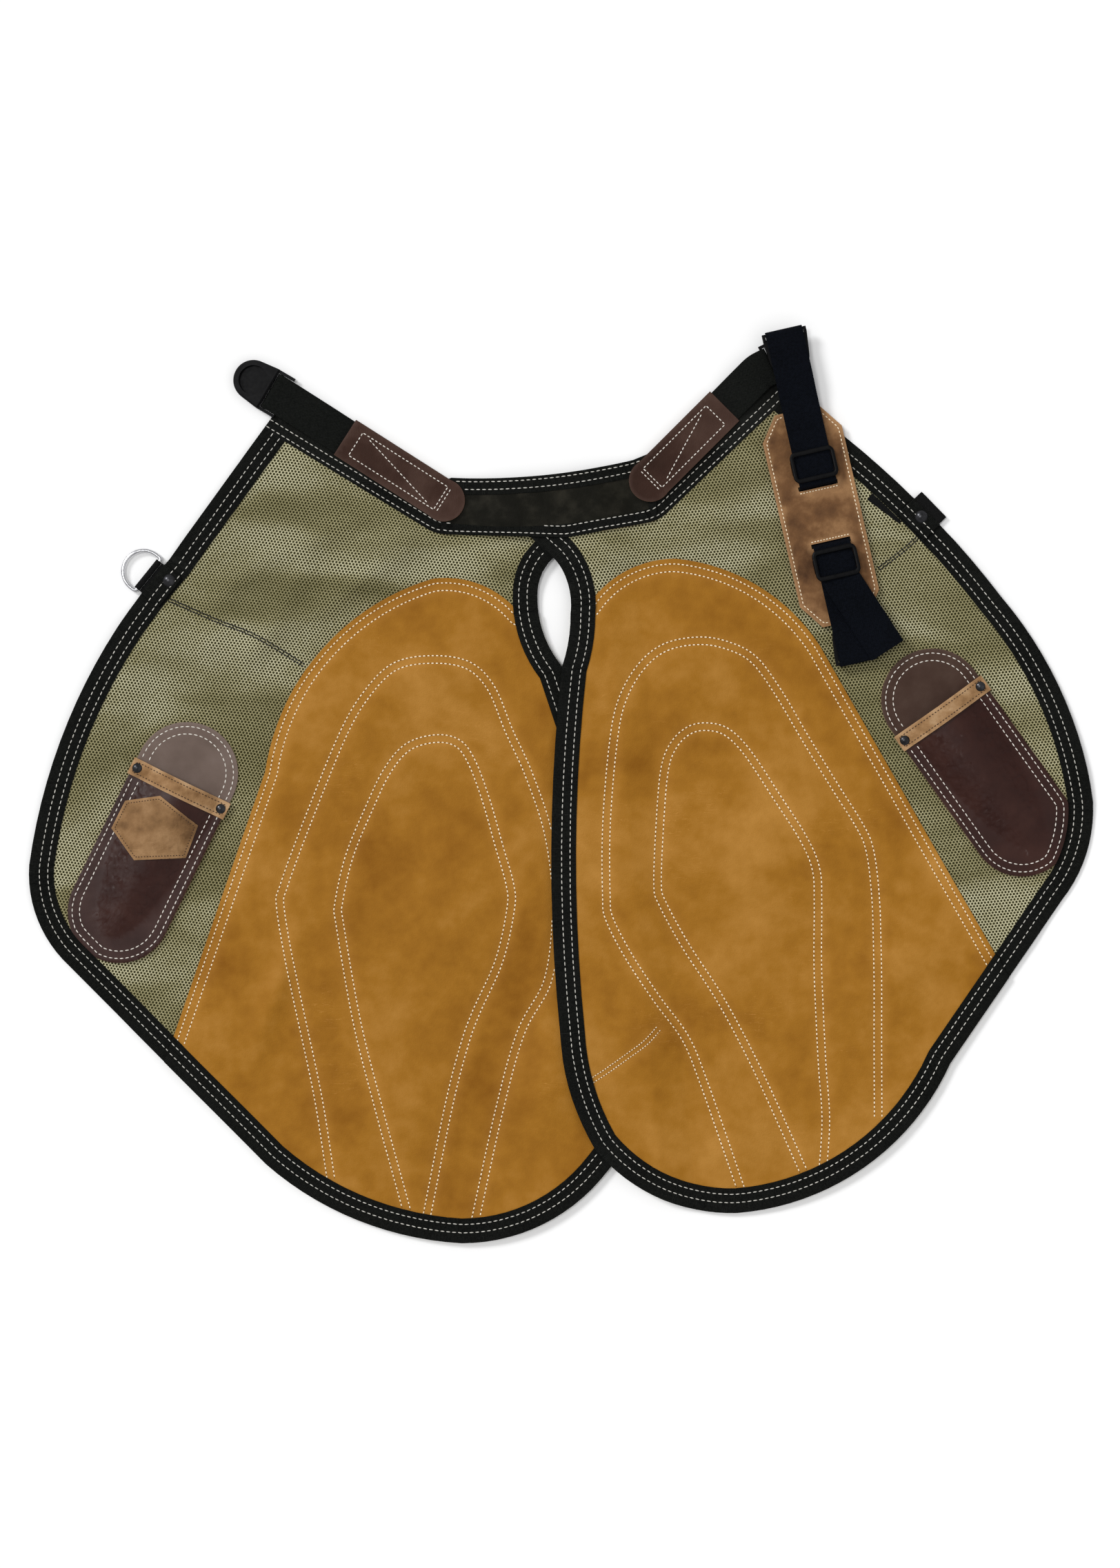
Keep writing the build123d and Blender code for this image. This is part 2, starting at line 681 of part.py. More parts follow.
# ------------------------------------------------------------------ pockets
def dome(pocket, shrink):
    """The bellied body of a pocket's front, round an axis laid far below it."""
    axis_line = inside(pocket, 0, 0, dome_axis)
    crest = dome_radius - shrink
    foot = dome_radius - pocket_rise - shrink
    with BuildPart() as belly:
        with BuildSketch(upright(axis_line)):
            with BuildLine():
                Polyline((mouth, crest), (mouth, 0), (mouth - dome_length, 0),
                         (mouth - dome_length, foot))
                ThreePointArc((mouth - dome_length, foot),
                              (mouth - dome_length * 0.56, foot + pocket_rise * 0.73), (mouth, crest))
            make_face()
        revolve(axis=Axis(axis_line.origin, axis_line.x_dir))
    return belly.part


for side, leg, pocket in (("left", left_leg, pocket_left), ("right", right_leg, pocket_right)):
    with BuildSketch(pocket) as pocket_outline:
        SlotOverall(pocket_length, pocket_width)
    pocket_shape = shared(pocket_outline.sketch, inset(leg.sketch, binding_width + edge_margin))
    with BuildSketch(inside(pocket, mouth - pocket_length)) as front_outline:
        Rectangle(2 * pocket_length, pocket_width)
    front_shape = shared(pocket_shape, front_outline.sketch)

    with BuildPart() as pocket_back_panel:
        add(slab(pocket_shape, raised(floor_path, mesh_top), raised(floor_path, back_top), fold_plane))
        add(keeper_rivets(pocket, rivet_clearance), mode=Mode.SUBTRACT)
    pocket_back_panel.part.label = f"pocket_back_{side}"
    export_step(pocket_back_panel.part, f"parts/pocket_back_{side}.step")

    with BuildPart() as pocket_front_panel:
        add(dome(pocket, 0.0))
        extrude(front_shape, amount=headroom, dir=(0, 0, 1), mode=Mode.INTERSECT)
        add(slab(front_shape, raised(floor_path, 0), raised(floor_path, flange_top), fold_plane))
        add(slab(front_shape, floor_path, raised(floor_path, back_top), fold_plane), mode=Mode.SUBTRACT)
        add(dome(pocket, pocket_front), mode=Mode.SUBTRACT)
        add(keeper_rivets(pocket, rivet_clearance), mode=Mode.SUBTRACT)
    pocket_front_panel.part.label = f"pocket_front_{side}"
    export_step(pocket_front_panel.part, f"parts/pocket_front_{side}.step")

    with BuildPart() as pocket_keeper:
        with BuildSketch(across(inside(pocket, keeper_place - keeper_width / 2))):
            with Locations((0, dome_axis)):
                Circle(dome_radius + keeper_gap + keeper_thickness)
            with Locations((0, flange_top + keeper_thickness / 2)):
                Rectangle(keeper_length, keeper_thickness)
            with Locations((0, dome_axis)):
                Circle(dome_radius + keeper_gap, mode=Mode.SUBTRACT)
            with Locations((0, flange_top + headroom / 2)):
                Rectangle(keeper_length, headroom, mode=Mode.INTERSECT)
        extrude(amount=keeper_width)
        add(keeper_rivets(pocket, rivet_clearance), mode=Mode.SUBTRACT)
    pocket_keeper.part.label = f"pocket_keeper_{side}"
    export_step(pocket_keeper.part, f"parts/pocket_keeper_{side}.step")

    with BuildPart() as keeper_studs:
        add(keeper_rivets(pocket))
    keeper_studs.part.label = f"keeper_rivets_{side}"
    export_step(keeper_studs.part, f"parts/keeper_rivets_{side}.step")

with BuildSketch(pocket_left) as patch_shape:
    with BuildLine():
        Polyline((26, 43.6), (46.4, 13), (35.8, -34.2), (0.8, -37.2), (-23.8, 8.4), (-5.3, 44), close=True)
    make_face()
with BuildPart() as pocket_patch:
    add(dome(pocket_left, -patch_gap - patch_thickness))
    add(slab(patch_shape.sketch, floor_path, raised(floor_path, flange_top + patch_gap + patch_thickness),
             fold_plane))
    extrude(patch_shape.sketch, amount=headroom, dir=(0, 0, 1), mode=Mode.INTERSECT)
    add(slab(patch_shape.sketch, floor_path, raised(floor_path, flange_top + patch_gap), fold_plane),
        mode=Mode.SUBTRACT)
    add(dome(pocket_left, -patch_gap), mode=Mode.SUBTRACT)
pocket_patch.part.label = "pocket_patch"
export_step(pocket_patch.part, "parts/pocket_patch.step")

# ------------------------------------------------------------------ back strap
strap_side = upright(strap)
upper_over = upper_bar_height + fold_inner + webbing / 2
lower_over = lower_bar_height + fold_inner + webbing / 2
drop_end = plug_nose + strap_drop
rise_start = lower_bar_place - 38.0 - strap_rise

with BuildPart() as back_strap:
    with BuildSketch(strap_side):
        with BuildLine():
            Polyline((fold_outer, upper_over), (plug_nose, upper_over), (drop_end, upper_ply),
                     (slot_upper, upper_ply), (slot_upper, behind_pad), (slot_lower, behind_pad),
                     (slot_lower, lower_ply), (rise_start, lower_ply),
                     (rise_start + strap_rise, lower_over), (lower_bar_place, lower_over))
        trace(line_width=webbing)
        with BuildLine():
            Polyline((fold_outer, upper_over - webbing), (plug_nose, upper_over - webbing),
                     (drop_end, lower_ply), (slot_upper - 11.0, lower_ply))
        trace(line_width=webbing)
        with BuildLine():
            Line((lower_bar_place - 35.0, lower_over - webbing), (lower_bar_place, lower_over - webbing))
        trace(line_width=webbing)
        with Locations((fold_outer, upper_bar_height), (lower_bar_place, lower_bar_height)):
            Circle(fold_outer)
            Circle(fold_inner, mode=Mode.SUBTRACT)
    extrude(amount=webbing_width / 2, both=True)
back_strap.part.label = "back_strap"
export_step(back_strap.part, "parts/back_strap.step")

half_pad = pad_width / 2
with BuildSketch(strap) as pad_shape:
    with BuildLine():
        Polyline((pad_start, half_pad - pad_chamfer[1] - pad_offset),
                 (pad_start + pad_chamfer[0], half_pad - pad_offset),
                 (pad_end - pad_chamfer[0], half_pad - pad_offset),
                 (pad_end, half_pad - pad_chamfer[1] - pad_offset),
                 (pad_end, -half_pad + pad_chamfer[1] - pad_offset),
                 (pad_end - pad_chamfer[0], -half_pad - pad_offset),
                 (pad_start + pad_chamfer[0], -half_pad - pad_offset),
                 (pad_start, -half_pad + pad_chamfer[1] - pad_offset), close=True)
    make_face()
    with Locations((slot_upper, 0), (slot_lower, 0)):
        Rectangle(webbing + 2 * slot_clearance, webbing_width + 2 * slot_clearance, mode=Mode.SUBTRACT)

for name, low, thickness in (
    ("back_pad_lining", pad_low, pad_lining),
    ("back_pad_face", pad_low + pad_lining, pad_leather),
):
    with BuildPart() as pad_layer:
        add(slab(pad_shape.sketch, raised(floor_path, low), raised(floor_path, low + thickness),
                 strap_side))
    pad_layer.part.label = name
    export_step(pad_layer.part, f"parts/{name}.step")

for name, place in (("upper", upper_slide), ("lower", lower_slide)):
    with BuildPart() as tri_glide:
        with BuildSketch(inside(strap, place, 0, slide_low)):
            RectangleRounded(slide_length, slide_width, 6.0)
            RectangleRounded(slide_length - 2 * slide_edge, webbing_width + 1.2, 3.0, mode=Mode.SUBTRACT)
        extrude(amount=slide_top - slide_low)
        with BuildSketch(inside(strap, place, 0, pad_top + slide_rest)):
            with Locations((0, slide_width / 2 - 1.6), (0, 1.6 - slide_width / 2)):
                Rectangle(14.0, 3.2)
        extrude(amount=slide_low - pad_top - slide_rest)
        with BuildSketch(inside(strap, place, 0, pad_top + slide_rest)):
            Rectangle(6.0, slide_width)
        extrude(amount=slide_bar)
    tri_glide.part.label = f"tri_glide_{name}"
    export_step(tri_glide.part, f"parts/tri_glide_{name}.step")

tail_start = lower_slide - slide_length / 2 + slide_edge
tail_bend = lower_slide + 7.0
with BuildSketch(strap) as tail_plan:
    with BuildLine():
        tail_in = Line((tail_start, 0), (tail_bend, 0))
        tail_arc = JernArc(tail_in @ 1, tail_in % 1, 40.0, tail_turn)
        Line(tail_arc @ 1, tail_arc @ 1 + (tail_arc % 1) * (tail_reach - tail_bend - 14.0))
    trace(line_width=webbing_width)
slide_out = lower_slide + slide_length / 2
tail_under = [(-reach, tail_low), (slide_out, tail_low), (slide_out + 10, tail_high), (reach, tail_high)]
with BuildPart() as strap_tail:
    add(slab(tail_plan.sketch, tail_under, raised(tail_under, tail_thickness), strap_side))
strap_tail.part.label = "strap_tail"
export_step(strap_tail.part, "parts/strap_tail.step")
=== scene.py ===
# %% [markdown]
# # Shoeing apron, laid flat
# A farrier's apron is cut from flat layers of mesh and leather, sewn one on another. Every layer
# here starts from the packed model, so outlines and heights come from there. A layer's upper
# faces are diced into a fine grid, swollen gently as real leather lies, and given back their
# thickness. Seams are real stitches set along rows, and webbing is built as ribbons.

# %% Load the frame
import bpy, bmesh
import numpy as np
from math import cos, exp, hypot, pi, radians, sin
from mathutils import Matrix, Vector
from mathutils.bvhtree import BVHTree
from mathutils.kdtree import KDTree


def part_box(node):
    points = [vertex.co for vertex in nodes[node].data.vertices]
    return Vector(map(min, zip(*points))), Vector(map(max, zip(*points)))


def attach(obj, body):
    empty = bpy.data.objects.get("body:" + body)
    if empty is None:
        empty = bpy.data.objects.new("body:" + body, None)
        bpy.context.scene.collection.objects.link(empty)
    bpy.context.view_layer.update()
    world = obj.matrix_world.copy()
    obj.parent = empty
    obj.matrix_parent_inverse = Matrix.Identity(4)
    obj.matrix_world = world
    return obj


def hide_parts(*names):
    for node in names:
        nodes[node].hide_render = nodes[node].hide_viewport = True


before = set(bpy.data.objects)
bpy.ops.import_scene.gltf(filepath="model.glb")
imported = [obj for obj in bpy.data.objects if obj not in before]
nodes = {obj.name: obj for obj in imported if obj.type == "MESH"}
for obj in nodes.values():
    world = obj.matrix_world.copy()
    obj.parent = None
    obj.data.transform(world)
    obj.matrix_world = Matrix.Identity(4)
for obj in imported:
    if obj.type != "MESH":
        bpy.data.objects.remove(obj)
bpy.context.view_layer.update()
scene = bpy.context.scene
rng = np.random.default_rng(7)
MM = 0.001

# %% [markdown]
# ## Camera
# The apron is seen from straight above. A wide lens close by would bend its outline, so a long
# lens stands well back. Colours are shown as written, with no film look over them.

# %% Camera
eye = bpy.data.cameras.new("eye")
eye.lens, eye.sensor_width = 79.2, 36.0
eye.clip_start, eye.clip_end = 0.05, 60
camera = bpy.data.objects.new("eye", eye)
camera.location = (-0.0021, 0.0021, 3.5)
scene.collection.objects.link(camera)
scene.camera = camera
scene.view_settings.view_transform = "Standard"
print("lens", eye.lens, "mm at", round(camera.location.z, 2), "m")

# %% [markdown]
# ## Floor
# The floor is one wide, matt and nearly white face, just under the apron. It could be a thick slab, but
# only its top is seen.

# %% Floor
def material(name, colour, rough=0.6, spec=0.4):
    """A material and its shader, in one colour until nodes feed it."""
    m = bpy.data.materials.new(name)
    m.use_nodes = True
    shader = m.node_tree.nodes["Principled BSDF"]
    shader.inputs["Base Color"].default_value = (*colour, 1)
    shader.inputs["Roughness"].default_value = rough
    shader.inputs["Specular IOR Level"].default_value = spec
    return m, shader


floor_reach, floor_drop = 28, 0.0006  # metres
floor_paint, _ = material("floor_paint", (0.99, 0.99, 0.99), 0.9, spec=0.0)
bm = bmesh.new()
bmesh.ops.create_grid(bm, x_segments=1, y_segments=1, size=floor_reach)
sheet = bpy.data.meshes.new("floor")
bm.to_mesh(sheet)
bm.free()
floor = bpy.data.objects.new("floor", sheet)
floor.location.z = -floor_drop
floor.data.materials.append(floor_paint)
scene.collection.objects.link(floor)
print("floor", 2 * floor_reach, "m wide")

# %% [markdown]
# ## Light
# A white world lights every side a little, and three suns add direction: a key from the upper left,
# a broad fill from the right, and one almost overhead. Suns were chosen over area lamps because
# they light a flat thing evenly. Together they light a level face so that its colour comes out
# as written.

# %% Light
world = bpy.data.worlds.new("room")
scene.world = world
world.use_nodes = True
world.node_tree.nodes["Background"].inputs["Color"].default_value = (1, 1, 1, 1)
world.node_tree.nodes["Background"].inputs["Strength"].default_value = 0.46
lamps = [  # name, strength, spread in degrees, where it comes from
    ("key", 1.5, 16, (-1.0, 0.75, 1.0)),
    ("fill", 0.3, 60, (1.0, -0.4, 1.1)),
    ("top", 0.75, 14, (-0.30, 0.10, 1.0)),
]
for name, strength, spread, where in lamps:
    lamp = bpy.data.lights.new(name, "SUN")
    lamp.energy, lamp.angle = strength, radians(spread)
    sun = bpy.data.objects.new(name, lamp)
    sun.rotation_euler = Vector(where).to_track_quat("Z", "Y").to_euler()
    scene.collection.objects.link(sun)
print(len(lamps), "lamps and a world")

# %% [markdown]
# ## Painting with nodes
# A finish is a small net of nodes. Linking each by hand hides what the net says, so one helper
# makes a node, feeds it and hands back its result. Lengths in the patterns are metres of the
# object, which keeps pores and threads at their real size.

# %% Node helpers
class Paint:
    """Builds one material's nodes."""

    def __init__(self, name, rough=0.6, spec=0.4):
        self.m, self.out = material(name, (0.5, 0.5, 0.5), rough, spec=spec)
        self.t = self.m.node_tree
        self.place = self.node("ShaderNodeTexCoord").outputs["Object"]

    def node(self, kind, **settings):
        n = self.t.nodes.new(kind)
        for key, value in settings.items():
            setattr(n, key, value)
        return n

    def feed(self, socket, value):
        if isinstance(value, bpy.types.NodeSocket):
            self.t.links.new(value, socket)
        elif value is not None:
            socket.default_value = value

    def math(self, op, a, b=None, c=None):
        n = self.node("ShaderNodeMath", operation=op)
        for socket, value in zip(n.inputs, (a, b, c)):
            self.feed(socket, value)
        return n.outputs[0]

    def noise(self, scale, detail=3.0, rough=0.5, where=None, distortion=0.0):
        n = self.node("ShaderNodeTexNoise")
        self.feed(n.inputs["Vector"], where or self.place)
        n.inputs["Scale"].default_value, n.inputs["Detail"].default_value = scale, detail
        n.inputs["Roughness"].default_value, n.inputs["Distortion"].default_value = rough, distortion
        return n.outputs["Fac"]

    def cells(self, scale):
        n = self.node("ShaderNodeTexVoronoi", feature="F1")
        self.feed(n.inputs["Vector"], self.place)
        n.inputs["Scale"].default_value = scale
        return n.outputs["Distance"]

    def span(self, value, low, high, to_low=0.0, to_high=1.0):
        n = self.node("ShaderNodeMapRange", interpolation_type="SMOOTHSTEP")
        for socket, v in zip(n.inputs, (value, low, high, to_low, to_high)):
            self.feed(socket, v)
        return n.outputs[0]

    def ramp(self, value, *stops):
        n = self.node("ShaderNodeValToRGB")
        self.feed(n.inputs[0], value)
        while len(n.color_ramp.elements) < len(stops):
            n.color_ramp.elements.new(0.5)
        for element, (at, colour) in zip(n.color_ramp.elements, stops):
            element.position, element.color = at, (*colour, 1)
        return n.outputs[0]

    def mix(self, fac, a, b):
        n = self.node("ShaderNodeMix", data_type="RGBA", blend_type="MIX")
        for socket, value in ((n.inputs[0], fac), (n.inputs[6], a), (n.inputs[7], b)):
            self.feed(socket, (*value, 1) if isinstance(value, tuple) else value)
        return n.outputs[2]

    def moved(self, turn=0.0, scale=(1, 1, 1)):
        n = self.node("ShaderNodeMapping")
        self.feed(n.inputs["Vector"], self.place)
        n.inputs["Rotation"].default_value = (0, 0, turn)
        n.inputs["Scale"].default_value = scale
        return n.outputs[0]

    def tagged(self, name):
        return self.node("ShaderNodeAttribute", attribute_name=name).outputs["Fac"]

    def finish(self, colour, bump, depth, rough=None):
        """Feeds the shader: colour, bump with its depth in metres, and roughness if it varies."""
        self.feed(self.out.inputs["Base Color"], colour)
        if rough is not None:
            self.feed(self.out.inputs["Roughness"], rough)
        n = self.node("ShaderNodeBump")
        n.inputs["Distance"].default_value = depth
        self.feed(n.inputs["Height"], bump)
        self.feed(self.out.inputs["Normal"], n.outputs[0])
        return self.m


print("node helpers:", [name for name in vars(Paint) if name[0] != "_"])

# %% [markdown]
# ## Leather
# Oiled leather is never one brown. It clouds where it took the oil, its pores are darker, thin
# scratches are paler, and it wears along seams. An image could carry that, but noise at real
# sizes needs none and never repeats. One recipe serves every hide, with other colours.

# %% Leather
def leather(name, dark, mid, light, grain=900.0, rough=0.64, cloud=7.0, scratch=0.35,
            depth=0.0003, wear=0.25, spec=0.12):
    """Oiled leather: broad clouding, fine pores, thin scratches and paler worn seams."""
    p = Paint(name, spec=spec)
    broad = p.math("MULTIPLY", p.noise(cloud, 4, 0.55), 0.75)
    clouds = p.math("ADD", broad, p.math("MULTIPLY", p.noise(60, 3), 0.25))
    tint = p.ramp(clouds, (0.32, dark), (0.5, mid), (0.68, light))
    pores = p.cells(grain)
    tint = p.mix(p.span(pores, 0.0, 0.35, 0.28, 0.0), tint, tuple(0.55 * c for c in mid))
    marks = p.noise(9, 2, 0.5, p.moved(0.5, (3.0, 26.0, 1.0)), 1.2)
    lines = p.span(p.math("ABSOLUTE", p.math("SUBTRACT", marks, 0.5)), 0.0, 0.006, 1.0, 0.0)
    lines = p.math("MULTIPLY", lines, p.span(p.noise(11, 2), 0.55, 0.7, 0.0, scratch))
    tint = p.mix(lines, tint, tuple(min(1, 1.6 * c + 0.05) for c in light))
    rubbed = tuple(min(1, 1.35 * c + 0.02) for c in light)
    tint = p.mix(p.math("MULTIPLY", p.tagged("worn"), wear), tint, rubbed)
    height = p.math("ADD", p.math("MULTIPLY", pores, 0.5), p.math("MULTIPLY", p.noise(260, 4), 0.8))
    return p.finish(tint, height, depth, p.span(clouds, 0.3, 0.7, rough + 0.07, rough - 0.08))


leg_hide = leather("leg_hide", (0.222, 0.083, 0.004), (0.325, 0.137, 0.011), (0.43, 0.20, 0.034),
                   wear=0.15)
lining_hide = leather("lining_hide", (0.20, 0.10, 0.04), (0.28, 0.14, 0.05), (0.36, 0.19, 0.08),
                      rough=0.85)
tab_hide = leather("tab_hide", (0.020, 0.0075, 0.0040), (0.034, 0.0135, 0.0080), (0.066, 0.034, 0.024),
                   rough=0.55, cloud=9, scratch=0.2)
band_hide = leather("band_hide", (0.004, 0.004, 0.0025), (0.008, 0.0075, 0.005), (0.022, 0.020, 0.014),
                    rough=0.6, cloud=40, scratch=0.2, spec=0.06)
pad_hide = leather("pad_hide", (0.050, 0.021, 0.009), (0.155, 0.073, 0.028), (0.36, 0.195, 0.085),
                   grain=600, rough=0.6, cloud=26, scratch=1.0, wear=0.5)
pocket_hide = leather("pocket_hide", (0.016, 0.0035, 0.0022), (0.028, 0.0075, 0.0048),
                      (0.046, 0.016, 0.011), grain=1500, rough=0.42, cloud=9, scratch=0.08,
                      depth=0.00002, wear=0.0, spec=0.2)
# Grey-lilac leather for the left pocket's back, lighter than the right's brown: a painted reflection of the
# overhead light on its flat face.
flap_painted_reflection = leather("flap_painted_reflection", (0.10, 0.070, 0.056), (0.145, 0.104, 0.086), (0.18, 0.135, 0.115),
                    grain=1500, rough=0.58, cloud=9, scratch=0.2, depth=0.0001)
flap_brown = leather("flap_brown", (0.036, 0.018, 0.012), (0.050, 0.026, 0.018), (0.075, 0.045, 0.033),
                     grain=1500, rough=0.58, cloud=9, scratch=0.2, depth=0.0001)
keeper_hide = leather("keeper_hide", (0.20, 0.105, 0.043), (0.32, 0.18, 0.082), (0.44, 0.28, 0.15),
                      grain=800, rough=0.75, cloud=60, scratch=0.2, wear=0.2)
patch_hide = leather("patch_hide", (0.11, 0.055, 0.022), (0.24, 0.13, 0.055), (0.36, 0.21, 0.10),
                     grain=700, rough=0.7, cloud=45, scratch=0.5, wear=0.2)
print(len(bpy.data.materials), "materials so far")

# %% [markdown]
# ## Mesh cloth
# The legs are backed with coated mesh: staggered oval holes between twisted olive threads, about 3 mm
# apart. Cutting tens of thousands of holes would swamp the model, so they are a pattern with bump on a
# solid sheet. Rows and columns are counted, and every second row moves half a step. The holes are painted
# near-black, as painted shade of the space under the cloth, and broad diagonal bands of painted shade and
# light on the threads stand for its soft folds.

# %% Mesh cloth
def knit(name, turn):
    """Open mesh cloth: staggered oval holes filled with painted shade, between twisted olive threads banded
    with painted fold shade and light.
    """
    p = Paint(name, 0.9, 0.04)
    sway = p.math("MULTIPLY", p.math("SUBTRACT", p.noise(9, 2), 0.5), 0.006)
    split = p.node("ShaderNodeSeparateXYZ")
    p.feed(split.inputs[0], p.moved(turn))
    apart_along, apart_across, clear = 0.0034, 0.0027, 4000.0  # clear keeps the counts positive
    along = p.math("DIVIDE", p.math("ADD", split.outputs[0], sway), apart_along)
    rows = p.math("DIVIDE", p.math("ADD", split.outputs[1], sway), apart_across)
    shift = p.math("MULTIPLY", p.math("MODULO", p.math("FLOOR", p.math("ADD", rows, clear)), 2.0), 0.5)
    u = p.math("SUBTRACT", p.math("FRACT", p.math("ADD", p.math("ADD", along, clear), shift)), 0.5)
    v = p.math("SUBTRACT", p.math("FRACT", p.math("ADD", rows, clear)), 0.5)
    long_way = p.math("MULTIPLY", p.math("MULTIPLY", u, u), 1.35)
    wide_way = p.math("MULTIPLY", p.math("MULTIPLY", v, v), 0.8)
    hole = p.span(p.math("SQRT", p.math("ADD", long_way, wide_way)), 0.27, 0.42)
    # Stretched diagonal bands of noise lighten and darken the threads: painted shade and light of the
    # cloth's soft folds. The lightest stop of the ramp below is a painted highlight on the threads.
    clouds = p.span(p.noise(9, 2, 0.5, p.moved(turn + 0.6, (0.55, 1.5, 1.0)), 0.6), 0.3, 0.7)
    thread_tone_and_painted_light = p.ramp(p.math("MULTIPLY_ADD", clouds, 0.3, p.math("MULTIPLY_ADD", p.noise(700, 2), 0.5, 0.1)),
                    (0.2, (0.13, 0.115, 0.045)), (0.5, (0.325, 0.296, 0.16)), (0.78, (0.61, 0.585, 0.40)))
    # The holes are painted near-black: painted shade of the space under the cloth.
    tint = p.mix(hole, (0.030, 0.028, 0.009), thread_tone_and_painted_light)
    return p.finish(tint, hole, 0.0010)


knit_left = knit("knit_left", 0.16)
knit_right = knit("knit_right", -0.12)
print("mesh cloth in", len(knit_left.node_tree.nodes), "nodes")

# %% [markdown]
# ## Tape and webbing
# Woven black webbing shows fine ribs that follow the strap round its folds. A pattern in plain
# object space would cut across those folds, so ribs and cords are counted in coordinates that
# run along each ribbon. Tape shows its ribs more than its cords; strong webbing shows both alike.

# %% Tape and webbing
def web(name, base, light, rib, taped=True):
    """Ribbed webbing or tape; across and along come from the ribbon's own coordinates."""
    p = Paint(name, 0.8, 0.06)
    uv = p.node("ShaderNodeUVMap", uv_map="run").outputs[0]
    split = p.node("ShaderNodeSeparateXYZ")
    p.feed(split.inputs[0], uv)
    ribs = p.math("SINE", p.math("MULTIPLY", split.outputs[0], 2 * pi / rib))
    cords = p.math("SINE", p.math("MULTIPLY", split.outputs[1], 2 * pi / (rib * 0.8)))
    if taped:
        weave = p.math("ADD", p.math("MULTIPLY", ribs, 0.8), p.math("MULTIPLY", cords, 0.35))
    else:
        weave = p.math("MULTIPLY", ribs, cords)
    fuzz = p.noise(500, 3)
    lint = p.math("ADD", fuzz, p.math("MULTIPLY", p.noise(20, 3), 0.4))
    tint = p.ramp(p.math("ADD", p.math("MULTIPLY", weave, 0.2), lint), (0.35, base), (0.95, light))
    return p.finish(tint, p.math("ADD", weave, fuzz), 0.0004)


bound = web("bound", (0.0025, 0.0030, 0.0026), (0.013, 0.0135, 0.012), 0.0013)
belt_web = web("belt_web", (0.0035, 0.004, 0.0035), (0.012, 0.013, 0.0115), 0.0019, False)
strap_web = web("strap_web", (0.0008, 0.0012, 0.0022), (0.0045, 0.006, 0.0105), 0.0017, False)
print("webbing:", bound.name, belt_web.name, strap_web.name)

# %% [markdown]
# ## Plastic, metal, thread and cut edges
# Moulded buckles, plated rings, spun thread and the raw edge of leather are all nearly one
# colour. A single flat colour looks false close up, so each gets a faint mottle in colour,
# height and gloss, from one short recipe.

# %% Plastic, metal, thread and cut edges
def plain(name, base, light, scale, rough, depth=0.0001, spec=0.4, metal=0.0):
    """Moulded, cast or spun stuff with a faint mottle."""
    p = Paint(name, rough, spec)
    p.out.inputs["Metallic"].default_value = metal
    mottle = p.noise(scale, 4)
    gloss = p.span(p.noise(scale * 3, 2), 0.3, 0.7, rough - 0.06, rough + 0.08)
    return p.finish(p.ramp(mottle, (0.3, base), (0.7, light)), mottle, depth, gloss)


raw_edge = plain("raw_edge", (0.20, 0.10, 0.05), (0.34, 0.19, 0.10), 400, 0.85)
buckle_black = plain("buckle_black", (0.0018, 0.0018, 0.0022), (0.004, 0.004, 0.0045),
                     90, 0.36, spec=0.08)
label_black = plain("label_black", (0.003, 0.003, 0.003), (0.010, 0.010, 0.010),
                    900, 0.8, 0.0004, spec=0.05)
dark_nickel = plain("dark_nickel", (0.02, 0.02, 0.022), (0.06, 0.06, 0.065), 120, 0.28, metal=0.85)
bright_nickel = plain("bright_nickel", (0.55, 0.55, 0.57), (0.7, 0.7, 0.72), 120, 0.25, metal=1.0)
cream = plain("cream", (0.80, 0.64, 0.42), (1.0, 0.90, 0.70), 300, 0.7)
chalk = plain("chalk", (0.42, 0.41, 0.37), (0.66, 0.64, 0.58), 300, 0.7)
white_thread = plain("white_thread", (0.60, 0.56, 0.50), (0.88, 0.84, 0.77), 300, 0.7)
umber = plain("umber", (0.035, 0.016, 0.008), (0.08, 0.04, 0.02), 300, 0.8)
pitch_black = plain("pitch_black", (0.004, 0.004, 0.004), (0.010, 0.010, 0.010), 300, 0.8)
print(len(bpy.data.materials), "materials")

# %% [markdown]
# ## How the layers lie
# Laid down, a leather apron stays slightly wavy. Draping each layer by itself would let layers
# cross. One field of low swells moves every layer of the sewn body alike instead, so they keep
# their order. It fades out under the back strap, the belts and the hips, where hardware rests.

# %% Swell field
def eased(t):
    t = np.clip(t, 0, 1)
    return t * t * (3 - 2 * t)


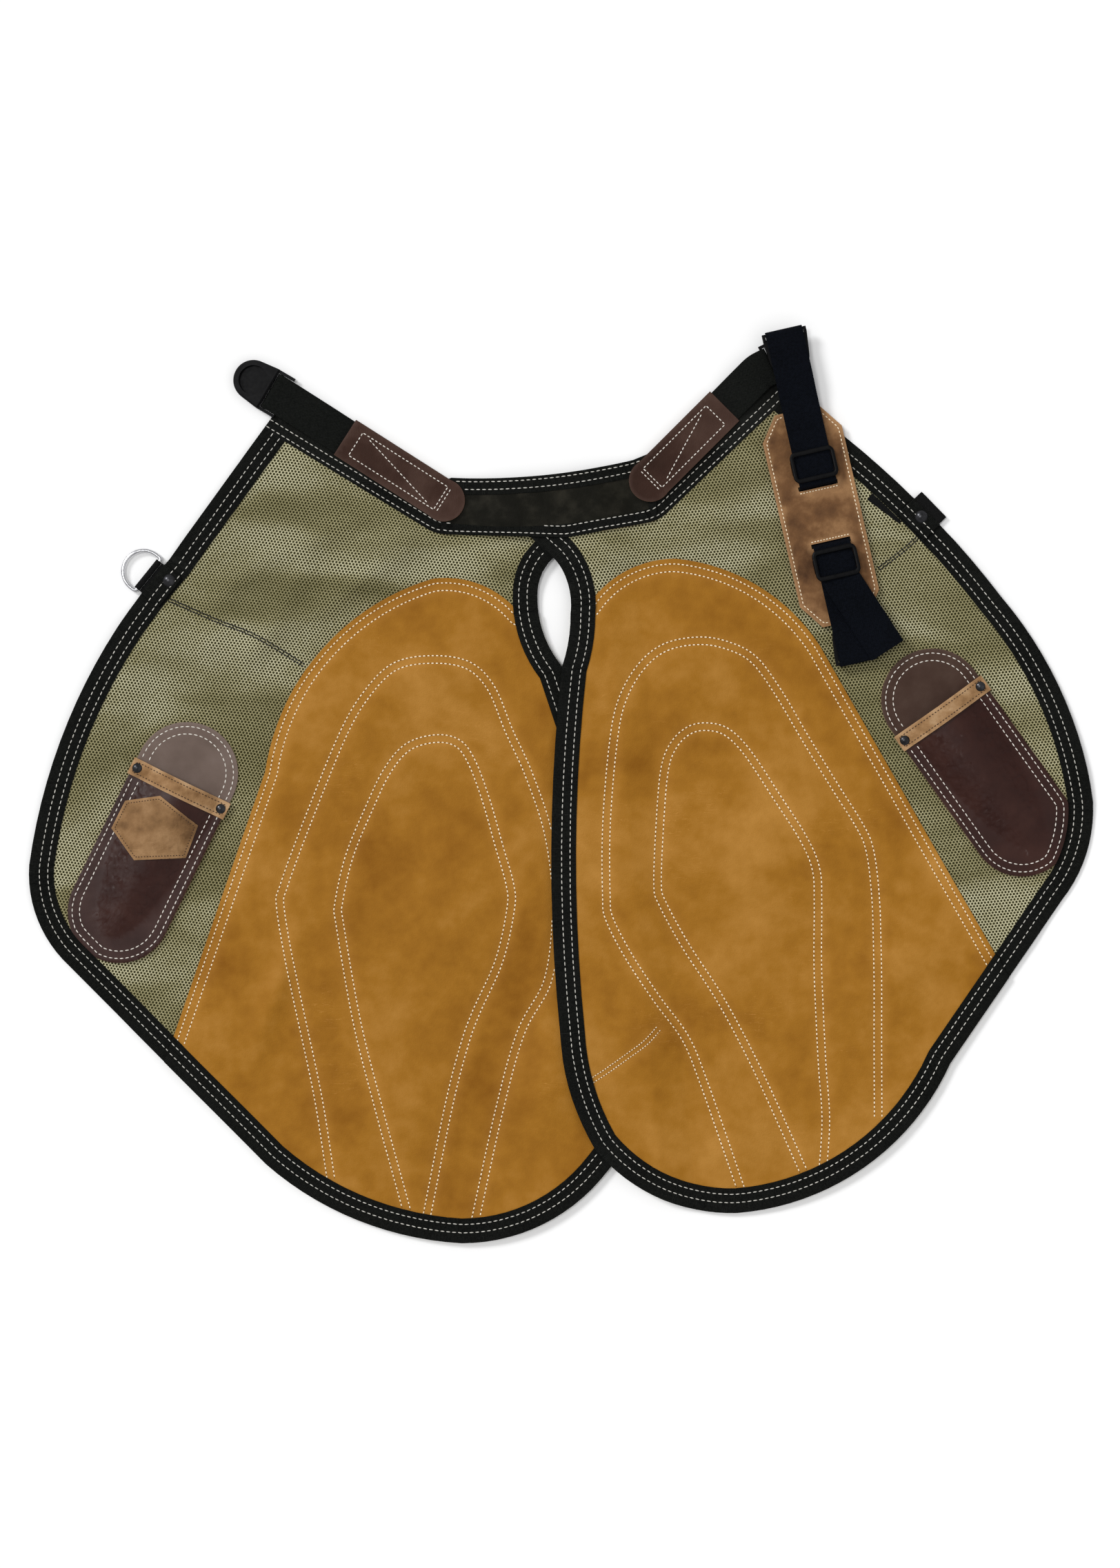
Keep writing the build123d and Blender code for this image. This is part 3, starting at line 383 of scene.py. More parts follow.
swells = [  # where, half sizes, heading in degrees, height, all in mm
    (-10, -294, 34, 60, -20, 6.0), (-52, -238, 26, 40, 20, -3.5), (87, -259, 30, 75, 60, 5.5),
    (150, -250, 26, 80, 55, -3.5), (125, -130, 30, 90, 75, -3.0), (190, -60, 60, 90, 60, 4.0),
    (-150, -120, 60, 110, 75, 4.5), (-215, 60, 40, 70, 50, 3.0), (-330, -250, 50, 70, -40, 4.0),
    (330, -190, 40, 90, -60, 4.5), (-120, 120, 50, 40, 10, 3.0), (110, 90, 60, 50, 30, 3.2),
    (-190, 235, 70, 18, 25, 4.0), (-240, 180, 60, 15, 30, 3.5), (-330, 120, 22, 60, -25, 3.0),
    (-300, 190, 16, 55, -40, 2.5), (-60, 225, 40, 16, -20, 3.0), (120, 235, 45, 16, 15, 3.0),
    (-400, 60, 20, 60, -50, 2.5), (330, 120, 26, 60, 35, 3.0), (180, -350, 50, 40, 20, 4.0),
    (-170, -340, 60, 50, 0, 4.0), (-440, -170, 26, 40, 40, 2.0), (-480, 20, 20, 60, -10, 1.6),
    (-345, 195, 11, 60, -52, 6.0), (-300, 150, 10, 55, -40, 4.5), (-375, 110, 10, 60, -30, 5.0),
    (-250, 250, 60, 9, 24, 5.0), (-150, 250, 50, 8, 5, 4.0), (-60, 240, 45, 9, -12, 4.5),
    (-420, -20, 10, 50, -25, 3.5), (-290, -210, 12, 60, -20, 4.0), (60, 235, 50, 9, 12, 4.0),
    (140, 265, 60, 9, 25, 3.5), (345, 170, 10, 50, 35, 4.5), (400, 140, 9, 50, 40, 4.0),
    (-200, 210, 70, 9, 33, 4.5), (-270, 205, 9, 50, -30, 4.0), (360, 20, 9, 60, 30, 3.5),
]
quiet = [  # stretches where the layers lie flat: from, to, reach, fade
    ((218, 480), (310, 110), 62, 45), ((-330, 420), (-170, 320), 34, 30), ((290, 460), (110, 340), 34, 30),
    ((-460, 250), (-395, 190), 30, 25), ((410, 320), (350, 260), 24, 20),
    ((-360, 60), (-465, -170), 62, 30), ((350, 120), (485, -70), 62, 30), ((-120, 285), (100, 290), 30, 30),
]
low_roll, swell_gain = 1.6, 1.25  # height in mm everywhere, and what the swells are multiplied by


def swell(points):
    """Height of the swell, in metres, at points given in metres."""
    q = np.atleast_2d(np.asarray(points, float))[:, :2] / MM
    h = low_roll + 0.9 * np.sin(q[:, 0] / 71 + q[:, 1] / 113)
    h = h + 0.7 * np.sin(q[:, 0] / 43 - q[:, 1] / 61 + 1.3)
    for x, y, a, b, turn, top in swells:
        c, s = cos(radians(turn)), sin(radians(turn))
        u = ((q[:, 0] - x) * c + (q[:, 1] - y) * s) / a
        v = (-(q[:, 0] - x) * s + (q[:, 1] - y) * c) / b
        h = h + swell_gain * top * np.exp(-(u * u + v * v))
    for a, b, reach, fade in quiet:
        a, b = np.array(a, float), np.array(b, float)
        t = np.clip(((q - a) @ (b - a)) / ((b - a) @ (b - a)), 0, 1)
        far = np.linalg.norm(q - a - t[:, None] * (b - a), axis=1)
        h = h * eased((far - reach) / fade)
    return np.maximum(h, 0) * MM


print("swell at the knees", swell([(-0.1, -0.1), (0.18, -0.1)]).round(4))

# %% [markdown]
# ## From a solid to a layer
# A CAD layer has a top, an underside and walls. Only its top can be shaped freely, so the faces
# that a ray upwards leaves without meeting the solid again are kept, and the rest goes. Cutting
# the top along a grid by planes keeps its outline exact, where remeshing would blur it.

# %% Upper faces, diced
def upper(name):
    """The faces of a CAD node that can be seen from above, as flat regions."""
    bm = bmesh.new()
    bm.from_mesh(nodes[name].data)
    bmesh.ops.remove_doubles(bm, verts=bm.verts, dist=1e-5)
    bm.normal_update()
    own = BVHTree.FromBMesh(bm)
    up = Vector((0, 0, 1))

    def covered(face):
        return own.ray_cast(face.calc_center_median() + up * 2e-5, up)[0] is not None

    hidden = [f for f in bm.faces if f.normal.z < 0.3 or covered(f)]
    bmesh.ops.delete(bm, geom=hidden, context="FACES")
    return bm


def dice(bm, step):
    """Cuts a region along a grid, so that it can take a curved surface."""
    co = np.array([v.co for v in bm.verts])
    for axis, way in enumerate((Vector((1, 0, 0)), Vector((0, 1, 0)))):
        lo, hi = co[:, axis].min(), co[:, axis].max()
        for k in range(1, int((hi - lo) / step) + 1):
            every = bm.verts[:] + bm.edges[:] + bm.faces[:]
            spot = way * (lo + k * step)
            bmesh.ops.bisect_plane(bm, geom=every, plane_co=spot, plane_no=way, dist=1e-6)
    bmesh.ops.remove_doubles(bm, verts=bm.verts, dist=2.5e-4)
    return bm


def heave(bm, amount=1.0):
    """Moves a layer up by the swell."""
    up = swell([v.co for v in bm.verts])
    for v, h in zip(bm.verts, up):
        v.co.z += h * amount
    return bm


label_top = dice(upper("hip_label"), 0.004)
print(len(label_top.faces), "faces on the hip label's top, diced at 4 mm")
label_top.free()

# %% [markdown]
# ## Placing a piece and giving it thickness
# Each piece names the body that it rides on, its material slot and the CAD nodes that it stands
# for. A shaped layer then gets its thickness downwards with a Solidify modifier, which can be
# changed later, and a small Bevel rounds its edges as a cutter leaves them.

# %% Placing and thickness
def place(bm, name, mats, body, stands_for=()):
    """Finishes a piece: mesh, materials, body and the nodes that it stands for."""
    mesh = bpy.data.meshes.new(name)
    bm.to_mesh(mesh)
    bm.free()
    for m in mats:
        mesh.materials.append(m)
    mesh.shade_smooth()
    piece = bpy.data.objects.new(name, mesh)
    scene.collection.objects.link(piece)
    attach(piece, body)
    if stands_for:
        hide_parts(*stands_for)
    return piece


def thicken(piece, thickness, rim=None, round_by=0.0):
    """Gives a layer its thickness downwards, and rounds its edges."""
    mod = piece.modifiers.new("thickness", "SOLIDIFY")
    mod.thickness, mod.offset, mod.use_even_offset = thickness, -1, False
    if rim is not None:
        mod.material_offset_rim = rim
    if round_by:
        edge = piece.modifiers.new("edges", "BEVEL")
        edge.width, edge.segments, edge.limit_method, edge.angle_limit = round_by, 2, "ANGLE", radians(50)
        edge.use_clamp_overlap = True
    return piece


print(len(nodes), "nodes wait for a look")

# %% [markdown]
# ## Outlines and rows
# Stitches and tape follow edges, so outlines have to be walked. Open edges are chained into
# rings, any path can be set out at an even spacing, and a row beside a path is moved sideways.
# At tight corners such a row folds back on itself; points that come too near are dropped.

# %% Outlines
def loops(bm):
    """The outline of a region as closed rings of points, longest first."""
    after = {}
    for e in bm.edges:
        if len(e.link_faces) == 1:
            for loop in e.link_faces[0].loops:
                if loop.edge == e:
                    after[loop.vert.index] = loop.link_loop_next.vert.index
    co = {v.index: np.array(v.co) for v in bm.verts}
    rings = []
    while after:
        start = next(iter(after))
        ring, at = [], start
        while at in after:
            ring.append(co[at])
            at = after.pop(at)
        rings.append(np.array(ring))
    longest = lambda ring: -np.linalg.norm(np.diff(ring, axis=0), axis=1).sum()
    return sorted(rings, key=longest)


def rings_of(node):
    """All outlines of a node's upper side, longest first."""
    bm = upper(node)
    rings = loops(bm)
    bm.free()
    return rings


def outline_of(node):
    """The longest outline of a node's upper side, as x and y."""
    return rings_of(node)[0][:, :2]


print(len(outline_of("waistband")), "corners on the waistband's outline")

# %% Paths and rows
def even(path, step, closed=False):
    """Points at an even spacing along a path."""
    path = np.asarray(path, float)
    if closed:
        path = np.vstack([path, path[:1]])
    run = np.r_[0, np.cumsum(np.linalg.norm(np.diff(path, axis=0), axis=1))]
    n = max(2, int(round(run[-1] / step)))
    at = np.linspace(0, run[-1], n + 1)[: n if closed else n + 1]
    return np.column_stack([np.interp(at, run, path[:, k]) for k in range(path.shape[1])])


def flow(points, step=2e-3):
    """A smooth curve through given points in mm, handed back in metres."""
    p = np.array(points, float) * MM
    p = np.vstack([2 * p[0] - p[1], p, 2 * p[-1] - p[-2]])
    out = []
    for k in range(1, len(p) - 2):
        a, b, c, d = p[k - 1 : k + 3]
        for t in np.linspace(0, 1, 12, endpoint=False):
            bend = (2 * a - 5 * b + 4 * c - d) * t**2 + (3 * b - a - 3 * c + d) * t**3
            out.append(0.5 * (2 * b + (c - a) * t + bend))
    return even(out + [p[-2]], step)


def nearest(points):
    """A search tree over points; those on the plane count as height 0."""
    tree = KDTree(len(points))
    for k, p in enumerate(points):
        tree.insert((p[0], p[1], p[2] if len(p) > 2 else 0), k)
    tree.balance()
    return tree


def beside(path, distance, closed=False):
    """A row beside a path, to its left; bits that fold back on it are dropped."""
    p = even(np.asarray(path, float)[:, :2], 1e-3, closed)
    if closed:
        ahead, behind = np.roll(p, -3, axis=0), np.roll(p, 3, axis=0)
    else:
        ahead = np.vstack([p[3:], p[-1:], p[-1:], p[-1:]])
        behind = np.vstack([p[:1], p[:1], p[:1], p[:-3]])
    t = ahead - behind
    t /= np.linalg.norm(t, axis=1)[:, None] + 1e-12
    row = p + np.column_stack([-t[:, 1], t[:, 0]]) * distance
    tree = nearest(p)
    keep = [tree.find((v[0], v[1], 0))[2] > abs(distance) - 4e-4 for v in row]
    return row[np.array(keep)]


print(len(even([(0, 0), (0.1, 0)], 0.01)), "points on 100 mm at a spacing of 10 mm")

# %% [markdown]
# ## Arches of stitches
# Two arches on each leather hold the knee lining and stiffen the leg, and the right leather has
# a short sewn dart near its hem. Their curves are free, so each is set by a few points. A smooth
# curve through the points passes where an arc of a circle would not.

# %% Arches of stitches
middle_left = flow([
    (-238, -398), (-251, -315), (-275, -202), (-289, -124), (-285, -99), (-258, -26), (-226, 52),
    (-202, 94), (-172, 124), (-133, 132), (-94, 126), (-69, 102), (-50, 57), (-30, 13),
    (-10, -48), (-2, -119), (-10, -196), (-38, -251), (-60, -330), (-84, -440),
])
inner_left = flow([
    (-160, -435), (-187, -335), (-211, -242), (-229, -139), (-230, -119), (-219, -70), (-199, -21),
    (-180, 18), (-158, 43), (-128, 52), (-104, 47), (-89, 28), (-74, -11), (-60, -60),
    (-49, -99), (-48, -124), (-60, -178), (-84, -232), (-96, -266), (-111, -325), (-134, -440),
])
middle_right = flow([
    (179, -414), (159, -356), (140, -302), (122, -258), (93, -218), (64, -174), (44, -135),
    (41, -111), (41, -42), (47, 36), (56, 85), (76, 122), (103, 144), (140, 151),
    (172, 145), (198, 130), (223, 96), (250, 50), (280, 1), (304, -37), (315, -62),
    (321, -106), (323, -164), (324, -336),
])
inner_right = flow([
    (244, -399), (225, -356), (191, -282), (157, -218), (122, -164), (98, -120), (93, -101),
    (95, -42), (100, 17), (110, 44), (127, 60), (147, 64), (169, 58), (191, 36),
    (220, -8), (248, -52), (261, -84), (263, -120), (263, -189), (267, -277), (271, -336),
    (268, -390),
])
dart = flow([
    (2, -318), (23, -300), (44, -286), (66, -270), (83, -257), (96, -243),
])
arches = {"left": [middle_left, inner_left], "right": [middle_right, inner_right, dart]}
print("arches:", {side: [len(path) for path in paths] for side, paths in arches.items()})

# %% [markdown]
# ## Where seams press the leather
# A tight seam sinks into leather and rubs pale. A search tree over the stitch rows tells how far
# any point of a leather is from the nearest seam. The row pairs are 7.7 mm apart, so a line
# midway between them serves for both.

# %% Where seams press
twin_gap = 0.0077  # between the two rows of an arch
hide_rings = {side: outline_of(f"leather_panel_{side}") for side in ("left", "right")}
seam_trees = {}
for side, ring in hide_rings.items():
    rows = [beside(arch, -0.0038) for arch in arches[side]] + [beside(ring, 0.009, True)]
    seam_trees[side] = nearest(np.vstack(rows))
print("seams followed over", {side: len(ring) for side, ring in hide_rings.items()}, "outline points")

# %% [markdown]
# ## The sewn sheets
# Mesh, knee lining and leather of each leg lie one on another, with the waistband across the
# top. Each is cut from its node, raised by the swell and kept as a surface that stitches can be
# dropped on. The leather is diced finest, because it shows the pressed seams.

# %% Sheets
ground = {}  # name -> surface seen from above, for the stitches
flat_area = {}
press_depth, press_reach, rub_reach = 0.0011, 0.0055, 0.008


def layer(node, step, mats, thickness, rim=None, round_by=0.0, seams=None):
    """One cut layer of the sewn body, from its CAD node."""
    bm = dice(upper(node), step)
    area = sum(f.calc_area() for f in bm.faces)
    lo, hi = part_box(node)
    heave(bm)
    if seams is not None:
        worn = bm.verts.layers.float.new("worn")
        for v in bm.verts:
            far = seams.find((v.co.x, v.co.y, 0))[2]
            v.co.z -= press_depth * exp(-((far / press_reach) ** 2))
            v[worn] = exp(-((far / rub_reach) ** 2))
    ground[node] = BVHTree.FromBMesh(bm)
    piece = place(bm, node + "_look", mats, "apron", [node])
    thicken(piece, thickness, rim, round_by)
    flat_area[piece.name] = (area, (hi.x - lo.x, hi.y - lo.y))
    return piece


sheets = []
for side, cloth in (("left", knit_left), ("right", knit_right)):
    sheets.append(layer(f"mesh_panel_{side}", 0.009, [cloth], 0.0009))
    sheets.append(layer(f"knee_lining_{side}", 0.016, [lining_hide], 0.0007))
    hide = layer(f"leather_panel_{side}", 0.0048, [leg_hide, raw_edge], 0.0019, 1, 0.0004,
                 seams=seam_trees[side])
    sheets.append(hide)
layer("waistband", 0.006, [band_hide, raw_edge], 0.0019, 1)
print({k: round(v[0], 4) for k, v in flat_area.items()})

# %% [markdown]
# ## Bindings
# Folded tape is sewn over every cut edge. Its upper side comes from the node and is raised with
# the rest. The ribs have to run with the tape, so each point gets coordinates along and in from
# the outline that the tape follows; an automatic unwrap would turn them at random.

# %% Bindings
def run_coords(bm, ring):
    """Coordinates along and in from an outline, in metres, for ribbed tape."""
    step, jump = 2e-3, 50  # a face that spans the ring's start would jump by more points than this
    tree = nearest(even(ring, step, True))
    uv = bm.loops.layers.uv.new("run")
    for f in bm.faces:
        first = None
        for loop in f.loops:
            _, k, far = tree.find((loop.vert.co.x, loop.vert.co.y, 0))
            first = k if first is None else first
            if abs(k - first) > jump:
                k = first
            loop[uv].uv = (k * step, far)


outlines = {side: outline_of(f"mesh_panel_{side}") for side in ("left", "right")}
waist_rings = rings_of("waist_binding")
tapes = {
    "edge_binding_left": outlines["left"],
    "edge_binding_right": outlines["right"],
    "waist_binding": waist_rings[0][:, :2],
}
for node, ring in tapes.items():
    bm = dice(upper(node), 0.0065)
    heave(bm)
    run_coords(bm, ring)
    ground[node] = BVHTree.FromBMesh(bm)
    piece = place(bm, node + "_look", [bound], "apron", [node])
    thicken(piece, 0.0025, None, 0.0007)
print(len(tapes), "bindings")

# %% [markdown]
# ## Ribbons of webbing
# Strap webbing bends in one direction only, so a strap is told by a side profile of distance and
# height, and by the line it follows on the apron. A curve with a flat section could make one
# too, but may twist at its folds. Here a grid is bent along the profile, which keeps it level.

# %% Profiles
def rounded(profile, radius):
    """Softens a profile's corners."""
    p = [np.array(q, float) for q in profile]
    out = [p[0]]
    for a, b, c in zip(p, p[1:], p[2:]):
        r = min(radius, np.linalg.norm(a - b) / 2, np.linalg.norm(c - b) / 2)
        start = b + (a - b) / (np.linalg.norm(a - b) + 1e-9) * r
        end = b + (c - b) / (np.linalg.norm(c - b) + 1e-9) * r
        out += [(1 - t) ** 2 * start + 2 * t * (1 - t) * b + t * t * end for t in np.linspace(0, 1, 6)]
    return out + [p[-1]]


def around(centre, radius, start, stop, count=12):
    """Points of an arc in the profile, from one angle to another, in degrees."""
    turns = [radians(a) for a in np.linspace(start, stop, count)]
    return [(centre[0] + radius * cos(a), centre[1] + radius * sin(a)) for a in turns]


def straight(x, y, heading):
    """A straight line on the apron: distance in, place and heading out."""
    h = radians(heading)
    return lambda s: (x + s * cos(h), y + s * sin(h), h)


web_wide, web_thick, fold = 38, 1.9, 2.65  # width, thickness, and radius of its fold round a bar
bend = around((0, 0), fold, -60, -270)
print("webbing", web_wide, "by", web_thick, "mm; a fold takes", len(bend), "points")

# %% Ribbons
def ribbon(name, plan, profile, width, thickness, mat, body, stands_for, wave=None):
    """Webbing along a profile in mm; plan(distance) gives x, y and the heading there."""
    line = even(profile, 2.5)
    count, across = len(line), 8
    bm = bmesh.new()
    bmesh.ops.create_grid(bm, x_segments=count - 1, y_segments=across, size=0.5)
    uv = bm.loops.layers.uv.new("run")
    run = np.r_[0, np.cumsum(np.linalg.norm(np.diff(line, axis=0), axis=1))] * MM
    spots = {v.index: (int(round((v.co.x + 0.5) * (count - 1))), v.co.y) for v in bm.verts}
    for f in bm.faces:
        for loop in f.loops:
            k, c = spots[loop.vert.index]
            loop[uv].uv = (run[k], c * width * MM)
    for v in bm.verts:
        k, c = spots[v.index]
        s, z = line[k]
        x, y, heading = plan(s)
        w = c * width
        if wave:
            z += wave(s, c)
        v.co = Vector((x - w * sin(heading), y + w * cos(heading), z)) * MM
    bmesh.ops.recalc_face_normals(bm, faces=bm.faces)
    piece = place(bm, name, [mat], body, stands_for)
    mod = piece.modifiers.new("thickness", "SOLIDIFY")
    mod.thickness, mod.offset = thickness * MM, 0
    edge = piece.modifiers.new("edges", "BEVEL")
    edge.width, edge.segments, edge.limit_method, edge.angle_limit = 0.0005, 2, "ANGLE", radians(50)
    return piece


print(len(even([(0, 0), (100, 0)], 2.5)), "points along 100 mm of ribbon")

# %% [markdown]
# ## Back strap
# The strap hangs from its upper plug: it folds round the plug's bar, runs through both slots of
# the pad, and folds round the lower plug's bar. The folds and slots are what makes it read as one
# real length of webbing, so the profile follows all of it, even behind the pad.

# %% Back strap
strap_heading = 12.8 - 90
strap_line = straight(223.2, 462.1, strap_heading)
bar_up, bar_down = 15.6, 12.0  # heights of the two plugs' bars
slot_up, slot_down = 161.75, 221.25  # where the webbing goes through the pad
behind_pad, over_pad = 3.1, 13.9
lower_bar = 343

inner_end = [(145.7, 11.9), (70.75, 11.9), (48.75, 16.25), (9, 16.25)]
outer_run = [
    (3.65, 18.25), (30, 18.35), (48.75, 18.25), (72, 13.95), (100, over_pad), (slot_up, over_pad),
    (slot_up, behind_pad), (slot_down, behind_pad), (slot_down, 11.9), (252, 11.9),
    (294, 12.0), (307, 14.65), (lower_bar, 14.65),
]
path = inner_end + around((3.65, bar_up), fold, -60, -270, 14) + rounded(outer_run, 4)
path = path + around((lower_bar, bar_down), fold, 90, -60, 10) + [(332, 12.7), (309, 12.65)]
strap = ribbon("back_strap_look", strap_line, path, web_wide, web_thick, strap_web, "strap",
               ["back_strap"], wave=lambda s, c: 0.12 * sin(s / 21) * (2 * c) ** 2)
print("back strap", round(sum(hypot(b[0] - a[0], b[1] - a[1]) for a, b in zip(path, path[1:]))), "mm long")

# %% [markdown]
# ## The strap's loose tail
# The adjusting end comes out of the lower slide, turns aside and lies over the strap's end. It
# rides on the lower slide, because the slide and this end move together, so it is a ribbon of
# its own. Its line is straight, then an arc, then straight again.

# %% Strap tail
turn_at, turn_by, bend = 249.25, 20.0, 40.0
turned = radians(turn_by) * bend


def tail_line(s):
    u = s - turn_at
    h = radians(strap_heading)
    if u <= 0:
        return strap_line(s)
    x0, y0, _ = strap_line(turn_at)
    a = min(u, turned) / bend
    x = x0 + bend * (sin(h + a) - sin(h))
    y = y0 - bend * (cos(h + a) - cos(h))
    rest = max(0, u - turned)
    return x + rest * cos(h + a), y + rest * sin(h + a), h + a


def tail_wave(s, c):
    """The free end ripples a little, more towards its tip."""
    return max(0, (s - 285) / 60) * (0.9 + 1.1 * sin(5 * c + s / 17))


tail_path = rounded([(231.25, 13.85), (258.25, 13.85), (268.25, 16.6), (300, 16.9), (346, 16.6)], 5)
tail = ribbon("strap_tail_look", tail_line, tail_path, web_wide, 1.4, strap_web,
              "lower_slide", ["strap_tail"], wave=tail_wave)
print("tail of", len(tail.data.polygons), "faces")

# %% [markdown]
# ## Belts
# Each belt end folds round its buckle's bar and bends a little before it goes under its leather
# tab. Both belts share one recipe: a short lead, an arc, then the run back under the tab.

# %% Belts
lead, bend_radius, tab_level = 7.0, 30.0, 2.6
belts = [  # side, the bar's place in mm, heading, bend in degrees, run to the tab
    ("left", (-293.4, 399.8, 3.8), 149.5, -2.0, 79.0),
    ("right", (209.77, 424.736, 6.4), 26.5, 18.5, 44.0),
]
for side, bar, heading, bend_by, run in belts:
    arc = abs(radians(bend_by)) * bend_radius
    sign = 1 if bend_by > 0 else -1

    def belt_line(s, back=heading + 180, bar=bar, arc=arc, sign=sign):
        """Distance back from the buckle's bar, with the belt's bend in it."""
        h = radians(back)
        x, y = bar[0] + min(s, lead) * cos(h), bar[1] + min(s, lead) * sin(h)
        u = max(0, s - lead)
        a = min(u, arc) / bend_radius * sign
        x += bend_radius * sign * (sin(h + a) - sin(h))
        y += -bend_radius * sign * (cos(h + a) - cos(h))
        rest = max(0, u - arc)
        return x + rest * cos(h + a), y + rest * sin(h + a), h + a

    far = lead + arc + run
    top = bar[2] + fold
    sewn = tab_level + 1.0
    path = [(12, bar[2] - 2.45), (3, bar[2] - 2.55)] + around((0, bar[2]), fold, -80, -270, 12)
    path = path + rounded([(0.5, top), (far - 28, top), (far - 4, sewn), (far + 75, sewn)], 8)
    ribbon(f"belt_webbing_{side}_look", belt_line, path, web_wide, web_thick, belt_web,
           "apron", [f"belt_webbing_{side}"])
print(len(belts), "belts")

# %% [markdown]
# ## Leather pieces on top
# Tabs, pockets, keepers, patch, loops and pad are small cut pieces. They are made like the big
# sheets, and their edges are tagged as worn because that is where hands rub. The pocket fronts
# are domed to take knives, so their facets are smoothed first.

# %% Cut pieces
def near_edge(bm, reach):
    """How near each vertex is to the region's outline, as a worn tag."""
    rings = [even(r, 1e-3, True) for r in loops(bm) if len(r) > 3]
    tree = nearest(np.vstack(rings))
    worn = bm.verts.layers.float.new("worn")
    for v in bm.verts:
        v[worn] = max(0.0, 1 - tree.find(v.co)[2] / reach)


def cut_piece(node, step, mats, thickness, body="apron", reach=0.004, soften=0, amount=1.0):
    """A small cut piece, with worn edges; soften is the number of smoothing rounds."""
    bm = dice(upper(node), step)
    for _ in range(soften):
        inner = [v for v in bm.verts if not v.is_boundary]
        bmesh.ops.smooth_vert(bm, verts=inner, factor=0.5, use_axis_z=True)
    near_edge(bm, reach)
    heave(bm, amount)
    ground[node] = BVHTree.FromBMesh(bm)
    piece = place(bm, node + "_look", mats, body, [node])
    return thicken(piece, thickness, 1, 0.0005)


# The left pocket's back gets the leather with the painted reflection; the right one keeps its own dark
# brown.
for side, flap in (("left", flap_painted_reflection), ("right", flap_brown)):
    cut_piece(f"belt_tab_{side}", 0.005, [tab_hide, raw_edge], 0.0021)
    cut_piece(f"pocket_back_{side}", 0.004, [flap, raw_edge], 0.0014)
    cut_piece(f"pocket_front_{side}", 0.0040, [pocket_hide, raw_edge], 0.0017, soften=14)
    cut_piece(f"pocket_keeper_{side}", 0.0030, [keeper_hide, raw_edge], 0.0019)
    cut_piece(f"hip_loop_{side}", 0.004, [label_black, label_black], 0.0022)
cut_piece("pocket_patch", 0.004, [patch_hide, raw_edge], 0.0011, soften=6)
cut_piece("hip_label", 0.004, [label_black, label_black], 0.0005)
cut_piece("back_pad_face", 0.004, [pad_hide, raw_edge], 0.0019, "strap",
          reach=0.006, amount=0.0)
cut_piece("back_pad_lining", 0.008, [pad_hide, raw_edge], 0.0014, "strap", amount=0.0)
print(len(ground), "surfaces to sew on")

# %% [markdown]
# ## Buckles, ring and rivets
# The sockets, plugs, ring and rivets already have their true shape in the packed model. Building
# them again would gain nothing, so they keep their meshes and only get their finish.

# %% Buckles, ring and rivets
def dress(node, mat):
    """A hard part whose shape is right stays, with a material of its own."""
    data = nodes[node].data
    if not data.materials:
        data.materials.append(mat)
    for k in range(len(data.materials)):
        data.materials[k] = mat


for node in ("buckle_socket_left", "buckle_socket_right", "buckle_plug_upper", "buckle_plug_lower"):
    dress(node, buckle_black)
dress("d_ring_left", bright_nickel)
for side in ("left", "right"):
    dress(f"hip_rivet_{side}", dark_nickel)
    dress(f"keeper_rivets_{side}", dark_nickel)
print("dressed: two sockets, two plugs, a ring and the rivets")

# %% [markdown]
# ## Slides
# A slide is a moulded frame with a bar, and the webbing is threaded over the bar. Its frame is
# fat and soft-edged, which a bevelled box doesn't give. A tube is bent round a rectangle with
# round corners instead, with a squarish section, and stands on two cheeks over the bar.

# %% Slides
rim_long, rim_wide = 2.4, 2.0  # half widths of the frame's ends and of its sides, in mm


def slide_route():
    """The middle line of a slide's frame: a rectangle with round corners, in mm."""
    corner = 4.2
    x, y = 16.0 - rim_long - corner, 23.0 - rim_wide - corner
    corners = [(x, y, 0), (-x, y, 90), (-x, -y, 180), (x, -y, 270)]
    route = [(x + corner * cos(radians(a + t)), y + corner * sin(radians(a + t)))
             for x, y, a in corners for t in range(0, 91, 10)]
    return even(route, 0.5, True)


def bulge(q):
    """Turns a round section into a squarish one."""
    return abs(q) ** 0.6 * (1 if q > 0 else -1)


